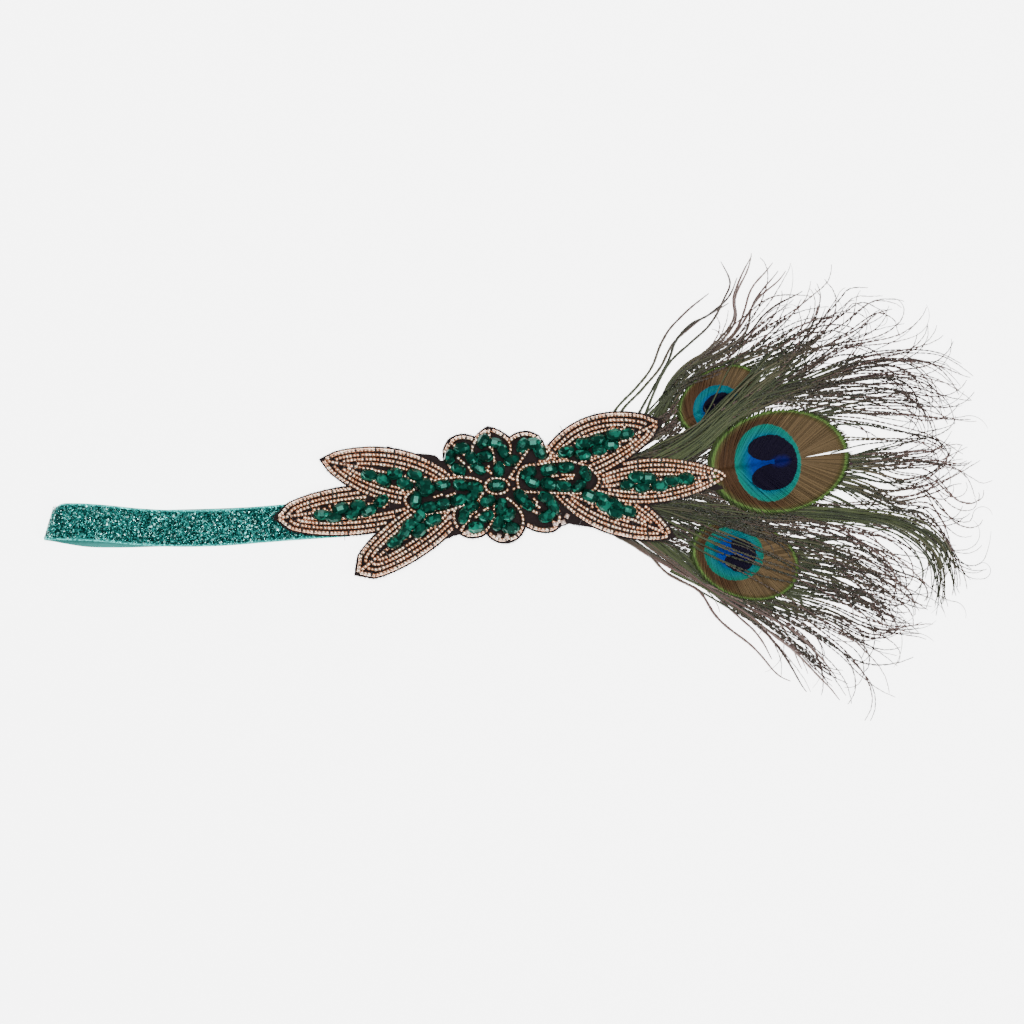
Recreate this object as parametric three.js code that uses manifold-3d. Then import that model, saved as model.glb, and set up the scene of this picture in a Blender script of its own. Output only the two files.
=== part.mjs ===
// A 1920s style feather headband, lying flat: a glitter elastic loop folded double, a felt
// ornament covered in seed beads and green glass beads, and three peacock eye feathers.
// Millimetres, +Z up. The origin is under the middle of the flower, on the table; +X runs
// from the folded end of the elastic towards the feathers.
import * as THREE from 'three';
import { mergeVertices } from 'three/addons/utils/BufferGeometryUtils.js';
import Module from 'manifold-3d';

const wasm = await Module();
wasm.setup();

// Elastic
const BAND_WIDTH = 15.5;
const BAND_THICK = 1.0;
const FOLD_REACH = 188.4; // from the flower's middle to the fold
const FOLD_HEIGHT = 6.8; // the fold stays a soft bulb
const FOLD_FLAT = 9.5; // length of the bulb's level top
const BAND_END = 74; // where the elastic ends under the right leaves
const RAMP_START = 22; // where the lower run lifts off the table
const RAMP_LENGTH = 12;

// Ornament
const FELT_THICK = 1.2;
const FELT_MARGIN = 1.0; // felt left showing round the beads
const ORNAMENT_REACH = 96; // from the flower's middle to the furthest leaf tip
const LEAF_LENGTH = 62;
const LEAF_WIDTH = 20;
const PETAL_REACH = 43;
const PETAL_WIDTH = 14.6;
const CENTRE_LENGTH = 12;
const CENTRE_WIDTH = 8.6;
const BED_THICK = 0.5; // the stitching layer that joins the beads of a leaf or petal
const SEED_DIAMETER = 1.8;
const GLASS_LENGTH = 5.0;
const GLASS_WIDTH = 3.9;

// Feathers
const QUILL_DIAMETER = 1.4;
const QUILL_TIP = 0.7;
const QUILL_HEIGHT = 0.2; // underside of the glued quills above the table
const VANE_THICK = 1.0;
const LOCK_THICK = 0.8;
const EYE_LENGTH = 58;
const EYE_WIDTH = 43;
const EYE_SHIFT = 5; // the green rim's middle lies past the blue eye's middle
const HERL_LENGTH = 100;
const LOCK_WIDTH = 6.5;
const CROSSING_HEIGHT = 1.4; // underside of the middle feather where it crosses the others

const CLEAR = 0.3; // gap between pieces that touch

const QUILL_TOP = QUILL_HEIGHT + QUILL_DIAMETER;
const SEAT_LOW = QUILL_TOP + CLEAR; // the elastic's sewn ends lie on the quills
const FELT_LOW = SEAT_LOW + BAND_THICK + CLEAR;
const FELT_TOP = FELT_LOW + FELT_THICK;
const BED_LOW = FELT_TOP + CLEAR;
const GLASS_AXIS = BED_LOW + BED_THICK + 0.3 * GLASS_WIDTH;

const rad = THREE.MathUtils.degToRad;

const material = (colour, roughness, metalness) =>
  new THREE.MeshStandardMaterial({ color: colour, roughness, metalness });
const elasticCloth = material(0x1f8a7c, 0.6, 0.2);
const felt = material(0x372a2a, 0.95, 0);
const beadwork = material(0xc08a66, 0.35, 0.6);
const glass = material(0x0b6b4c, 0.15, 0);
const feather = material(0x4a4a30, 0.8, 0);

// Solids and meshes

function toSolid(geometry) {
  const bare = geometry.clone();
  bare.deleteAttribute('normal');
  bare.deleteAttribute('uv');
  const merged = mergeVertices(bare, 1e-4);
  const corners = [];
  for (let i = 0; i < merged.index.count; i += 3) {
    const [a, b, c] = [0, 1, 2].map((k) => merged.index.getX(i + k));
    if (a !== b && b !== c && c !== a) corners.push(a, b, c);
  }
  return new wasm.Manifold(
    new wasm.Mesh({
      numProp: 3,
      vertProperties: new Float32Array(merged.attributes.position.array),
      triVerts: new Uint32Array(corners),
    }),
  );
}

function toGeometry(solid) {
  const { vertProperties, triVerts } = solid.getMesh();
  const geometry = new THREE.BufferGeometry();
  geometry.setAttribute('position', new THREE.BufferAttribute(new Float32Array(vertProperties), 3));
  geometry.setIndex(new THREE.BufferAttribute(new Uint32Array(triVerts), 1));
  geometry.computeVertexNormals();
  return geometry;
}

function prism(outline, low, high) {
  const shape = new THREE.Shape(outline);
  const geometry = new THREE.ExtrudeGeometry(shape, { depth: high - low, bevelEnabled: false });
  return toSolid(geometry.translate(0, 0, low));
}

// Closes a stack of equal rings of points into one body, with flat caps at both ends.
function skin(rings, capShape) {
  const count = rings[0].length;
  const points = rings.flat();
  const faces = [];
  for (let r = 0; r < rings.length - 1; r++) {
    for (let i = 0; i < count; i++) {
      const j = (i + 1) % count;
      const [a, b, c, d] = [r * count + i, r * count + j, (r + 1) * count + j, (r + 1) * count + i];
      faces.push(a, b, c, a, c, d);
    }
  }
  const last = (rings.length - 1) * count;
  for (const [a, b, c] of capShape) {
    faces.push(a, c, b);
    faces.push(last + a, last + b, last + c);
  }
  const geometry = new THREE.BufferGeometry().setFromPoints(points);
  geometry.setIndex(faces);
  return toSolid(geometry);
}

// Joins solids into one
const join = (solids) => solids.reduce((whole, next) => whole.add(next));

// Of a cut solid, the main piece; the slivers beyond a cut are waste
const mainPiece = (solid) => solid.decompose().sort((a, b) => b.volume() - a.volume())[0];

// Elastic band: one ribbon from its sewn end under the left leaf, round the fold, and back
// along the table to its other end under the right leaves.
// along: share of FOLD_REACH, side: share of BAND_WIDTH, height: 0 table to 1 sewn seat.
const UPPER_RUN = [
  { along: -0.33, side: -0.87, height: 1.0 },
  { along: -0.49, side: -1.02, height: 1.0 },
  { along: -0.62, side: -1.12, height: 0.93 },
  { along: -0.75, side: -1.14, height: 0.79 },
  { along: -0.83, side: -1.11, height: 0.84 },
];
const LOWER_RUN = [
  { along: -0.955, side: -1.2, height: 0 },
  { along: -0.885, side: -1.16, height: 0 },
  { along: -0.76, side: -1.14, height: 0 },
  { along: -0.5, side: -1.02, height: 0 },
];
const FOLD_SIDE = -0.96; // share of BAND_WIDTH
const FOLD_SKEW = 0.3; // the fold line leans over this much for each mm of width
const BAND_SIDE_MIDDLE = -0.3; // the lower run under the flower, share of BAND_WIDTH
const BAND_SIDE_END = 0.2; // the sewn end under the right leaves, share of BAND_WIDTH

function bandStations() {
  const low = BAND_THICK / 2;
  const seat = SEAT_LOW + BAND_THICK / 2;
  const place = ({ along, side, height }) => ({
    at: new THREE.Vector3(along * FOLD_REACH, side * BAND_WIDTH, low + height * (seat - low)),
    skew: 0,
  });
  const radius = (FOLD_HEIGHT - BAND_THICK) / 2;
  const foldX = -FOLD_REACH + radius;
  const arc = [];
  const ARC_STEPS = 7;
  const foldY = FOLD_SIDE * BAND_WIDTH;
  arc.push({ at: new THREE.Vector3(foldX + FOLD_FLAT, foldY, low + 2 * radius), skew: FOLD_SKEW });
  for (let i = 0; i <= ARC_STEPS; i++) {
    const turn = Math.PI / 2 + (Math.PI * i) / ARC_STEPS;
    const x = foldX + radius * Math.cos(turn);
    const z = low + radius + radius * Math.sin(turn);
    arc.push({ at: new THREE.Vector3(x, foldY, z), skew: FOLD_SKEW });
  }
  const under = (x, side, z) => ({ at: new THREE.Vector3(x, side * BAND_WIDTH, z), skew: 0 });
  return [
    ...UPPER_RUN.map(place),
    ...arc,
    ...LOWER_RUN.map(place),
    under(0, BAND_SIDE_MIDDLE, low),
    under(RAMP_START, BAND_SIDE_MIDDLE * 0.5, low),
    under(RAMP_START + RAMP_LENGTH, 0, seat),
    under(BAND_END, BAND_SIDE_END, seat),
  ];
}

function bandGeometry() {
  const stations = bandStations();
  const rings = stations.map(({ at, skew }, i) => {
    const before = stations[Math.max(i - 1, 0)].at;
    const after = stations[Math.min(i + 1, stations.length - 1)].at;
    const along = new THREE.Vector2(after.x - before.x, after.z - before.z).normalize();
    const corner = (side, layer) => {
      const y = (side * BAND_WIDTH) / 2;
      const z = (layer * BAND_THICK) / 2;
      return new THREE.Vector3(at.x + skew * y + along.y * z, at.y + y, at.z - along.x * z);
    };
    return [corner(-1, -1), corner(-1, 1), corner(1, 1), corner(1, -1)];
  });
  return toGeometry(skin(rings, [[0, 1, 2], [0, 2, 3]]));
}

// Leaf and petal outlines: a pointed or blunt blade along its own axis.
// Points run from the root along the left side to the tip and back along the right.
function bladeOutline(blade, inset, steps) {
  const direction = new THREE.Vector2(Math.cos(rad(blade.aim)), Math.sin(rad(blade.aim)));
  const across = new THREE.Vector2(-direction.y, direction.x);
  const start = inset * blade.rootTrim;
  const length = blade.length - start - inset * blade.tipTrim;
  const half = blade.width / 2 - inset;
  const left = [];
  const right = [];
  for (let i = 1; i < steps; i++) {
    const t = i / steps;
    const wide = half * Math.sin(Math.PI * t ** blade.peak) ** blade.blunt;
    left.push([t, wide]);
    right.unshift([t, -wide]);
  }
  const bow = blade.bow * blade.length;
  return [[0, 0], ...left, [1, 0], ...right].map(([t, wide]) => {
    const along = start + t * length;
    const side = wide + bow * Math.sin(Math.PI * t);
    return new THREE.Vector2(blade.x, blade.y)
      .addScaledVector(direction, along)
      .addScaledVector(across, side);
  });
}

// A bed whose edge rises in rows, one ridge for each row of seed beads, round a flat floor.
function reliefBed(outlineAt, rows) {
  const high = (ring, z) => ring.map((p) => new THREE.Vector3(p.x, p.y, z));
  const rings = [high(outlineAt(0), BED_LOW), high(outlineAt(0), BED_LOW + 0.5 * SEED_DIAMETER)];
  for (let row = 0; row < rows; row++) {
    const crest = (row + 0.5) * SEED_DIAMETER;
    const valley = (row + 1) * SEED_DIAMETER;
    const lastRow = row === rows - 1;
    rings.push(high(outlineAt(crest), BED_LOW + SEED_DIAMETER));
    rings.push(high(outlineAt(valley), BED_LOW + (lastRow ? BED_THICK : 0.7 * SEED_DIAMETER)));
  }
  const cap = THREE.ShapeUtils.triangulateShape(outlineAt(0), []);
  const clockwise = THREE.ShapeUtils.isClockWise(outlineAt(0));
  if (clockwise) {
    rings.forEach((ring) => ring.reverse());
    return skin(rings, THREE.ShapeUtils.triangulateShape(outlineAt(0).reverse(), []));
  }
  return skin(rings, cap);
}

// One oval glass bead lying on its side, its hole along the turn
const GLASS_SIDES = 10;
function glassBead(x, y, turn, size = 1) {
  const r = (GLASS_WIDTH / 2) * size;
  const half = (GLASS_LENGTH / 2) * size;
  const profile = [
    new THREE.Vector2(0, -half),
    new THREE.Vector2(0.92 * r, -0.5 * half),
    new THREE.Vector2(0.92 * r, 0.5 * half),
    new THREE.Vector2(0, half),
  ];
  const bead = new THREE.LatheGeometry(profile, GLASS_SIDES);
  bead.rotateZ(rad(turn) - Math.PI / 2);
  return toSolid(bead.translate(x, y, GLASS_AXIS));
}

// Leaves, the uppermost first. x and y: root, shares of ORNAMENT_REACH; aim in degrees; length and
// width: shares of LEAF_LENGTH and LEAF_WIDTH; bow: sideways bend, share of the length; glass:
// beads in the fill, which runs from one share of the length to another.
const LEAVES = [
  { name: 'leaf_left_top', x: -0.135, y: -0.031, aim: 167, length: 1.0, width: 1.08, bow: 0,
    glass: 7, fillFrom: 0.31, fillTo: 0.68 },
  { name: 'leaf_left_bottom', x: -0.125, y: -0.034, aim: 215, length: 0.91, width: 0.88, bow: 0,
    glass: 6, fillFrom: 0.33, fillTo: 0.66 },
  { name: 'leaf_left_mid', x: -0.27, y: -0.07, aim: 187, length: 1.06, width: 0.94, bow: 0,
    glass: 7, fillFrom: 0.34, fillTo: 0.73 },
  { name: 'leaf_right_top', x: 0.156, y: 0.021, aim: 25, length: 0.94, width: 1.16, bow: 0.045,
    glass: 8, fillFrom: 0.26, fillTo: 0.74 },
  { name: 'leaf_right_mid', x: 0.344, y: 0.0, aim: 4, length: 1.02, width: 0.92, bow: 0,
    glass: 8, fillFrom: 0.35, fillTo: 0.74 },
  { name: 'leaf_right_bottom', x: 0.219, y: 0.021, aim: -23.5, length: 0.92, width: 0.92, bow: 0,
    glass: 7, fillFrom: 0.32, fillTo: 0.66 },
];
const LEAF_STEPS = 8;
const LEAF_ROWS = 3;

function leafBlade(leaf) {
  return {
    ...leaf,
    x: leaf.x * ORNAMENT_REACH,
    y: leaf.y * ORNAMENT_REACH,
    length: leaf.length * LEAF_LENGTH,
    width: leaf.width * LEAF_WIDTH,
    peak: 0.95,
    blunt: 1,
    rootTrim: 1.5,
    tipTrim: 1.8,
  };
}

// Glass beads lie in two staggered rows along the leaf
function leafGlass(blade) {
  const direction = new THREE.Vector2(Math.cos(rad(blade.aim)), Math.sin(rad(blade.aim)));
  const across = new THREE.Vector2(-direction.y, direction.x);
  const first = blade.fillFrom * blade.length;
  const pitch = ((blade.fillTo - blade.fillFrom) * blade.length) / (blade.glass - 1);
  const beads = [];
  for (let i = 0; i < blade.glass; i++) {
    const along = first + i * pitch;
    const t = along / blade.length;
    const stagger = 0.11 * blade.width * Math.sin(Math.PI * t);
    const side = blade.bow * blade.length * Math.sin(Math.PI * t) + (i % 2 ? stagger : -stagger);
    const x = blade.x + direction.x * along + across.x * side;
    const y = blade.y + direction.y * along + across.y * side;
    beads.push(glassBead(x, y, blade.aim + (i % 2 ? 25 : -20)));
  }
  return beads;
}

// Petals. aim in degrees; reach: share of PETAL_REACH from the flower's middle; width: share of
// PETAL_WIDTH; blunt: below 1 rounds the tip; glass: beads in an arch inside the outline.
const PETALS = [
  { name: 'petal_right', aim: 4, reach: 1.0, width: 1.02, blunt: 0.6, glass: 8 },
  { name: 'petal_left', aim: 192, reach: 0.9, width: 0.94, blunt: 0.6, glass: 8 },
  { name: 'petal_up', aim: 99, reach: 0.57, width: 1.2, blunt: 0.8, glass: 5 },
  { name: 'petal_up_left', aim: 137, reach: 0.64, width: 1.15, blunt: 0.5, glass: 5 },
  { name: 'petal_up_right', aim: 51, reach: 0.62, width: 1.15, blunt: 0.5, glass: 5 },
  { name: 'petal_down_left', aim: 231, reach: 0.58, width: 1.2, blunt: 0.5, glass: 5 },
  { name: 'petal_down', aim: 282, reach: 0.55, width: 1.15, blunt: 0.5, glass: 5 },
  { name: 'petal_down_right', aim: 326, reach: 0.73, width: 1.1, blunt: 0.5, glass: 5 },
];
const PETAL_STEPS = 7;

function petalBlade(petal) {
  const root = 0.42 * CENTRE_WIDTH;
  return {
    ...petal,
    x: root * Math.cos(rad(petal.aim)),
    y: root * Math.sin(rad(petal.aim)),
    length: petal.reach * PETAL_REACH - root,
    width: petal.width * PETAL_WIDTH,
    bow: 0,
    peak: 1.25,
    rootTrim: 1.1,
    tipTrim: 1.1,
  };
}

// Glass beads lie in an arch, up one side of the petal, round its tip and down the other
function petalGlass(blade) {
  const arch = bladeOutline(blade, SEED_DIAMETER + 0.5 * GLASS_WIDTH, 2 * PETAL_STEPS);
  const path = new THREE.Path(arch.slice(1));
  const beads = [];
  for (let i = 0; i < blade.glass; i++) {
    const share = 0.16 + (0.68 * i) / (blade.glass - 1);
    const at = path.getPointAt(share);
    const heading = path.getTangentAt(share);
    const turn = THREE.MathUtils.radToDeg(Math.atan2(heading.y, heading.x));
    beads.push(glassBead(at.x, at.y, turn, 0.94));
  }
  return beads;
}

function ovalOutline(inset) {
  const points = [];
  const SIDES = 16;
  for (let i = 0; i < SIDES; i++) {
    const turn = (2 * Math.PI * i) / SIDES;
    const x = (CENTRE_LENGTH / 2 - inset) * Math.cos(turn);
    points.push(new THREE.Vector2(x, (CENTRE_WIDTH / 2 - inset) * Math.sin(turn)));
  }
  return points;
}

// The beadwork in order: what comes first keeps its outline, and what follows is cut clear of it
function beadworkParts() {
  const parts = [
    {
      name: 'centre_bead',
      outlineAt: ovalOutline,
      rows: 1,
      beads: [glassBead(0, 0, 0, 1.1)],
    },
  ];
  for (const petal of PETALS) {
    const blade = petalBlade(petal);
    const outlineAt = (inset) => bladeOutline(blade, inset, PETAL_STEPS);
    parts.push({ name: petal.name, outlineAt, rows: 1, beads: petalGlass(blade) });
  }
  for (const leaf of LEAVES) {
    const blade = leafBlade(leaf);
    const outlineAt = (inset) => bladeOutline(blade, inset, LEAF_STEPS);
    parts.push({ name: leaf.name, outlineAt, rows: LEAF_ROWS, beads: leafGlass(blade) });
  }
  return parts;
}

function beadworkMeshes(parts) {
  const top = GLASS_AXIS + GLASS_WIDTH;
  let taken = null;
  return parts.map(({ name, outlineAt, rows, beads }) => {
    let solid = join([reliefBed(outlineAt, rows), ...beads]);
    solid = solid.intersect(prism(outlineAt(0), BED_LOW, top));
    if (taken) solid = mainPiece(solid.subtract(taken));
    const claim = prism(outlineAt(-CLEAR), BED_LOW - CLEAR, top + CLEAR);
    taken = taken ? taken.add(claim) : claim;
    return namedMesh(name, toGeometry(solid), beadwork);
  });
}

function feltGeometry(parts) {
  const blanks = parts.map(({ outlineAt }) => prism(outlineAt(-FELT_MARGIN), FELT_LOW, FELT_TOP));
  return toGeometry(join(blanks));
}

// Feathers, each in its own frame with the quill along X.
// x and y: quill end, shares of ORNAMENT_REACH; aim in degrees; length: quill end to the middle
// of the eye, share of ORNAMENT_REACH; eye: size share; lift: does it cross over the others.
// Locks: root along the quill as a share of its length; aim, launch and arrive in degrees from
// the quill; reach: share of HERL_LENGTH; width: share of LOCK_WIDTH; drop: tip down to the table.
const FEATHERS = [
  {
    name: 'feather_upper', x: 0.406, y: 0.031, aim: 31.5, length: 0.64, eye: 0.66, lift: 0,
    locks: [
      { root: 0.12, aim: 28, reach: 0.91, launch: 52, arrive: 7, width: 0.7, drop: 0 },
      { root: 0.22, aim: 27, reach: 0.94, launch: 34, arrive: 34, width: 0.7, drop: 0 },
      { root: 0.35, aim: 33, reach: 0.88, launch: 10, arrive: 88, width: 0.7, drop: 0 },
      { root: 0.46, aim: 27, reach: 0.93, launch: 8, arrive: 34, width: 0.8, drop: 0 },
      { root: 0.6, aim: 18, reach: 0.88, launch: 14, arrive: 44, width: 1.2, drop: 0 },
      { root: 0.8, aim: 15, reach: 0.79, launch: 0, arrive: 48, width: 1.4, drop: 0 },
      { root: 1.0, aim: 1, reach: 0.7, launch: 0, arrive: -20, width: 1.4, drop: 0 },
      { root: 1.1, aim: -8, reach: 0.73, launch: 0, arrive: -30, width: 1.4, drop: 0 },
      { root: 1.0, aim: -22, reach: 0.7, launch: -6, arrive: -12, width: 1.3, drop: 0 },
    ],
  },
  {
    name: 'feather_lower', x: 0.406, y: -0.062, aim: -20.6, length: 0.69, eye: 0.8, lift: 0,
    locks: [
      { root: 0.12, aim: -23, reach: 0.89, launch: -19, arrive: -24, width: 0.7, drop: 0 },
      { root: 0.3, aim: -27, reach: 1.0, launch: -9, arrive: -14, width: 0.8, drop: 0 },
      { root: 0.5, aim: -22, reach: 1.13, launch: -19, arrive: -9, width: 1.0, drop: 0 },
      { root: 0.6, aim: -30, reach: 0.76, launch: -10, arrive: -45, width: 0.7, drop: 0 },
      { root: 0.7, aim: -17, reach: 1.02, launch: -24, arrive: 26, width: 1.3, drop: 0 },
      { root: 1.0, aim: -15, reach: 0.95, launch: -4, arrive: -40, width: 1.4, drop: 0 },
      { root: 1.1, aim: -3, reach: 0.81, launch: 16, arrive: -14, width: 1.4, drop: 0 },
      { root: 1.1, aim: 12, reach: 0.6, launch: 16, arrive: 6, width: 1.3, drop: 0 },
    ],
  },
  {
    name: 'feather_middle', x: 0.344, y: -0.02, aim: 8.2, length: 0.85, eye: 1.0, lift: 1,
    locks: [
      { root: 0.6, aim: 38, reach: 0.83, launch: 30, arrive: 54, width: 1.4, drop: 0 },
      { root: 0.75, aim: 28, reach: 0.95, launch: 37, arrive: 7, width: 1.3, drop: 0 },
      { root: 0.9, aim: 25, reach: 0.94, launch: 42, arrive: 17, width: 1.3, drop: 0 },
      { root: 1.0, aim: 13, reach: 0.885, launch: 47, arrive: -8, width: 1.3, drop: 0 },
      { root: 1.1, aim: 7, reach: 0.83, launch: 32, arrive: 2, width: 1.2, drop: 1 },
      { root: 1.2, aim: 2, reach: 0.69, launch: 22, arrive: 27, width: 1.2, drop: 1 },
      { root: 1.3, aim: -3, reach: 0.69, launch: -8, arrive: 12, width: 1.2, drop: 1 },
      { root: 1.25, aim: -21, reach: 0.79, launch: -3, arrive: -43, width: 1.0, drop: 1 },
      { root: 1.15, aim: -41, reach: 0.88, launch: -18, arrive: -83, width: 1.0, drop: 1 },
      { root: 0.9, aim: -43, reach: 1.02, launch: -28, arrive: -103, width: 1.6, drop: 0 },
      { root: 0.75, aim: -37, reach: 0.94, launch: -43, arrive: -28, width: 1.3, drop: 0 },
      { root: 0.62, aim: -39, reach: 0.9, launch: -50, arrive: -30, width: 1.3, drop: 0 },
    ],
  },
];
const LOCK_STEPS = 7;
const LOCK_BELLY = 0.38; // Bezier handle, share of the lock's reach
const LOCK_TAPER = 0.88;

// Undersides of a feather's vane and of its locks' tips
const vaneLow = (row) => (row.lift ? CROSSING_HEIGHT : 0);

function lockSolid(row, lock, length) {
  const reach = lock.reach * HERL_LENGTH;
  const polar = (angle, distance) =>
    new THREE.Vector3(distance * Math.cos(rad(angle)), distance * Math.sin(rad(angle)), 0);
  const root = new THREE.Vector3(lock.root * length, 0, 0);
  const tip = root.clone().add(polar(lock.aim, reach));
  const leave = root.clone().add(polar(lock.launch, LOCK_BELLY * reach));
  const enter = tip.clone().sub(polar(lock.arrive, LOCK_BELLY * reach));
  const curve = new THREE.CubicBezierCurve3(root, leave, enter, tip);
  const low = vaneLow(row);
  const rings = [];
  for (let i = 0; i <= LOCK_STEPS; i++) {
    const t = i / LOCK_STEPS;
    const at = curve.getPoint(t);
    const heading = curve.getTangent(t);
    const half = 0.5 * LOCK_WIDTH * lock.width * (1 - LOCK_TAPER * t);
    const z = low * (1 - lock.drop * t * t);
    const edge = (side, high) =>
      new THREE.Vector3(at.x - heading.y * side * half, at.y + heading.x * side * half, z + high);
    rings.push([edge(-1, 0), edge(1, 0), edge(1, LOCK_THICK), edge(-1, LOCK_THICK)]);
  }
  return skin(rings, [[0, 1, 2], [0, 2, 3]]);
}

function quillSolid(row, length) {
  const low = QUILL_HEIGHT + QUILL_DIAMETER / 2;
  const high = vaneLow(row) + VANE_THICK / 2;
  const bend = row.lift ? 0.54 : 0.3; // where the quill passes into the vane
  const stations = [
    { t: 0, z: low },
    { t: bend, z: low },
    { t: bend + 0.09, z: high },
    { t: 1, z: high },
  ];
  const SIDES = 8;
  const rings = stations.map(({ t, z }) => {
    const r = THREE.MathUtils.lerp(QUILL_DIAMETER, QUILL_TIP, t) / 2;
    const ring = [];
    for (let i = 0; i < SIDES; i++) {
      const turn = (2 * Math.PI * i) / SIDES;
      ring.push(new THREE.Vector3(t * length, r * Math.cos(turn), z + r * Math.sin(turn)));
    }
    return ring;
  });
  const cap = [];
  for (let i = 1; i < SIDES - 1; i++) cap.push([0, i, i + 1]);
  return skin(rings, cap);
}

// The vane: a narrow blade along the quill that opens into the eye
function vaneSolid(row, length) {
  const a = (EYE_LENGTH / 2) * row.eye;
  const b = (EYE_WIDTH / 2) * row.eye;
  const middle = length + EYE_SHIFT * row.eye;
  const start = (row.lift ? 0.6 : 0.3) * length;
  const neck = 1.2 * QUILL_DIAMETER;
  const SHOULDER = rad(150);
  const STEPS = 18;
  const outline = [new THREE.Vector2(start, -neck)];
  for (let i = 0; i <= STEPS; i++) {
    const turn = -SHOULDER + (2 * SHOULDER * i) / STEPS;
    outline.push(new THREE.Vector2(middle + a * Math.cos(turn), b * Math.sin(turn)));
  }
  outline.push(new THREE.Vector2(start, neck));
  return prism(outline, vaneLow(row), vaneLow(row) + VANE_THICK);
}

function featherMesh(row) {
  const length = row.length * ORNAMENT_REACH;
  const solids = [quillSolid(row, length), vaneSolid(row, length)];
  for (const lock of row.locks) solids.push(lockSolid(row, lock, length));
  const mesh = namedMesh(row.name, toGeometry(join(solids)), feather);
  mesh.position.set(row.x * ORNAMENT_REACH, row.y * ORNAMENT_REACH, 0);
  mesh.rotation.z = rad(row.aim);
  return mesh;
}

function namedMesh(name, geometry, finish) {
  const mesh = new THREE.Mesh(geometry, finish);
  mesh.name = name;
  return mesh;
}

const headband = new THREE.Group();
headband.name = 'feather_headband';
headband.add(namedMesh('elastic_band', bandGeometry(), elasticCloth));

const ornament = new THREE.Group();
const parts = beadworkParts();
ornament.add(namedMesh('felt_backing', feltGeometry(parts), felt));
ornament.add(...beadworkMeshes(parts));
ornament.getObjectByName('centre_bead').material = glass;
headband.add(ornament);

const plume = new THREE.Group();
for (const row of FEATHERS) plume.add(featherMesh(row));
headband.add(plume);

export default headband;
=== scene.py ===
import math

import bpy
import numpy as np
from mathutils import Matrix, Vector


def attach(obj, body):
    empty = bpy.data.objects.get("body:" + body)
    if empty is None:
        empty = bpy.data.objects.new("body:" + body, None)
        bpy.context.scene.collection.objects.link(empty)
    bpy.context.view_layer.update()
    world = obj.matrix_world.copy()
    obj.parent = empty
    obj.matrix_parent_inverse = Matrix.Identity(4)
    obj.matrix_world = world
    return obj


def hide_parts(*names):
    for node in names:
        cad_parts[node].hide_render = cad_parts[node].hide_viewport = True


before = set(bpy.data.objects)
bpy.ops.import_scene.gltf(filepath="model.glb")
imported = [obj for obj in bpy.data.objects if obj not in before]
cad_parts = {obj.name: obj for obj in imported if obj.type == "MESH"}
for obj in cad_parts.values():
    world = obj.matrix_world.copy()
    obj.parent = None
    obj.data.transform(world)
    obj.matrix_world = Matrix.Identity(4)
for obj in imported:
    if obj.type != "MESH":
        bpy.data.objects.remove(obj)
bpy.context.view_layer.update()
MM = 0.001

# The table and the light. The headband lies on a plain white table and is seen from
# straight above. Everything is lit by one broad soft lamp over the table and a pale room.
TABLE_SIZE = 8
TABLE_DROP = 0.3 * MM  # keeps the table clear of the elastic
ROOM_LIGHT = 0.55
PICTURE_MIDDLE = (6.3 * MM, -10.9 * MM)
PICTURE_WIDTH = 430 * MM
LENS = 85
SENSOR = 36
MIDDLE_HEIGHT = 5 * MM
LAMPS = [  # name, place, width and power
    ("lamp_over", (-0.10, 0.22, 1.25), 0.5, 17.0),
    ("lamp_side", (0.7, -0.35, 0.95), 0.4, 8.0),
]

bpy.ops.object.select_all(action="DESELECT")
bpy.ops.mesh.primitive_plane_add(size=TABLE_SIZE)
table = bpy.context.object
table.name = "table"
bpy.ops.object.mode_set(mode="EDIT")
bpy.ops.transform.translate(value=(0, 0, -TABLE_DROP))
bpy.ops.object.mode_set(mode="OBJECT")


def finish(name, **sockets):
    """A new material whose even values sit on the shader's own sockets."""
    made = bpy.data.materials.new(name)
    made.use_nodes = True
    shader = made.node_tree.nodes["Principled BSDF"]
    for label, value in sockets.items():
        shader.inputs[label.replace("_", " ")].default_value = value
    return made


def node(made, kind, inputs=(), **settings):
    """A new node in a material; inputs are (socket, value or another node's output)."""
    new = made.node_tree.nodes.new("ShaderNode" + kind)
    for key, value in settings.items():
        setattr(new, key, value)
    for socket, value in inputs:
        if isinstance(value, bpy.types.NodeSocket):
            made.node_tree.links.new(value, new.inputs[socket])
        else:
            new.inputs[socket].default_value = value
    return new


def sum_of(made, operation, *values):
    """The result of a Math node."""
    return node(made, "Math", list(enumerate(values)), operation=operation).outputs[0]


def ramp(made, value, stops):
    """Colours along a value, as (place, (red, green, blue)) stops."""
    new = node(made, "ValToRGB", [("Fac", value)])
    bar = new.color_ramp.elements
    while len(bar) < len(stops):
        bar.new(0.5)
    for stop, (place, colour) in zip(bar, stops):
        stop.position = place
        stop.color = (*colour, 1)
    return new.outputs["Color"]


def mix(made, share, first, second):
    """Two colours mixed by a share from 0 to 1."""
    new = node(made, "Mix", data_type="RGBA")
    for socket, value in zip((new.inputs["Factor"], new.inputs[6], new.inputs[7]), (share, first, second)):
        if isinstance(value, bpy.types.NodeSocket):
            made.node_tree.links.new(value, socket)
        else:
            socket.default_value = value if isinstance(value, float) else (*value, 1)
    return new.outputs[2]


def spot_in(made):
    """The place on the object, in metres."""
    return node(made, "TexCoord").outputs["Object"]


def noise(made, place, scale, detail=2.0, distortion=0.0):
    """Cloudy grain from 0 to 1."""
    inputs = [("Vector", place), ("Scale", scale), ("Detail", detail), ("Distortion", distortion)]
    return node(made, "TexNoise", inputs).outputs[0]


def wire(made, socket, value):
    """Leads a node's output to the shader."""
    made.node_tree.links.new(value, made.node_tree.nodes["Principled BSDF"].inputs[socket])


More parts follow.
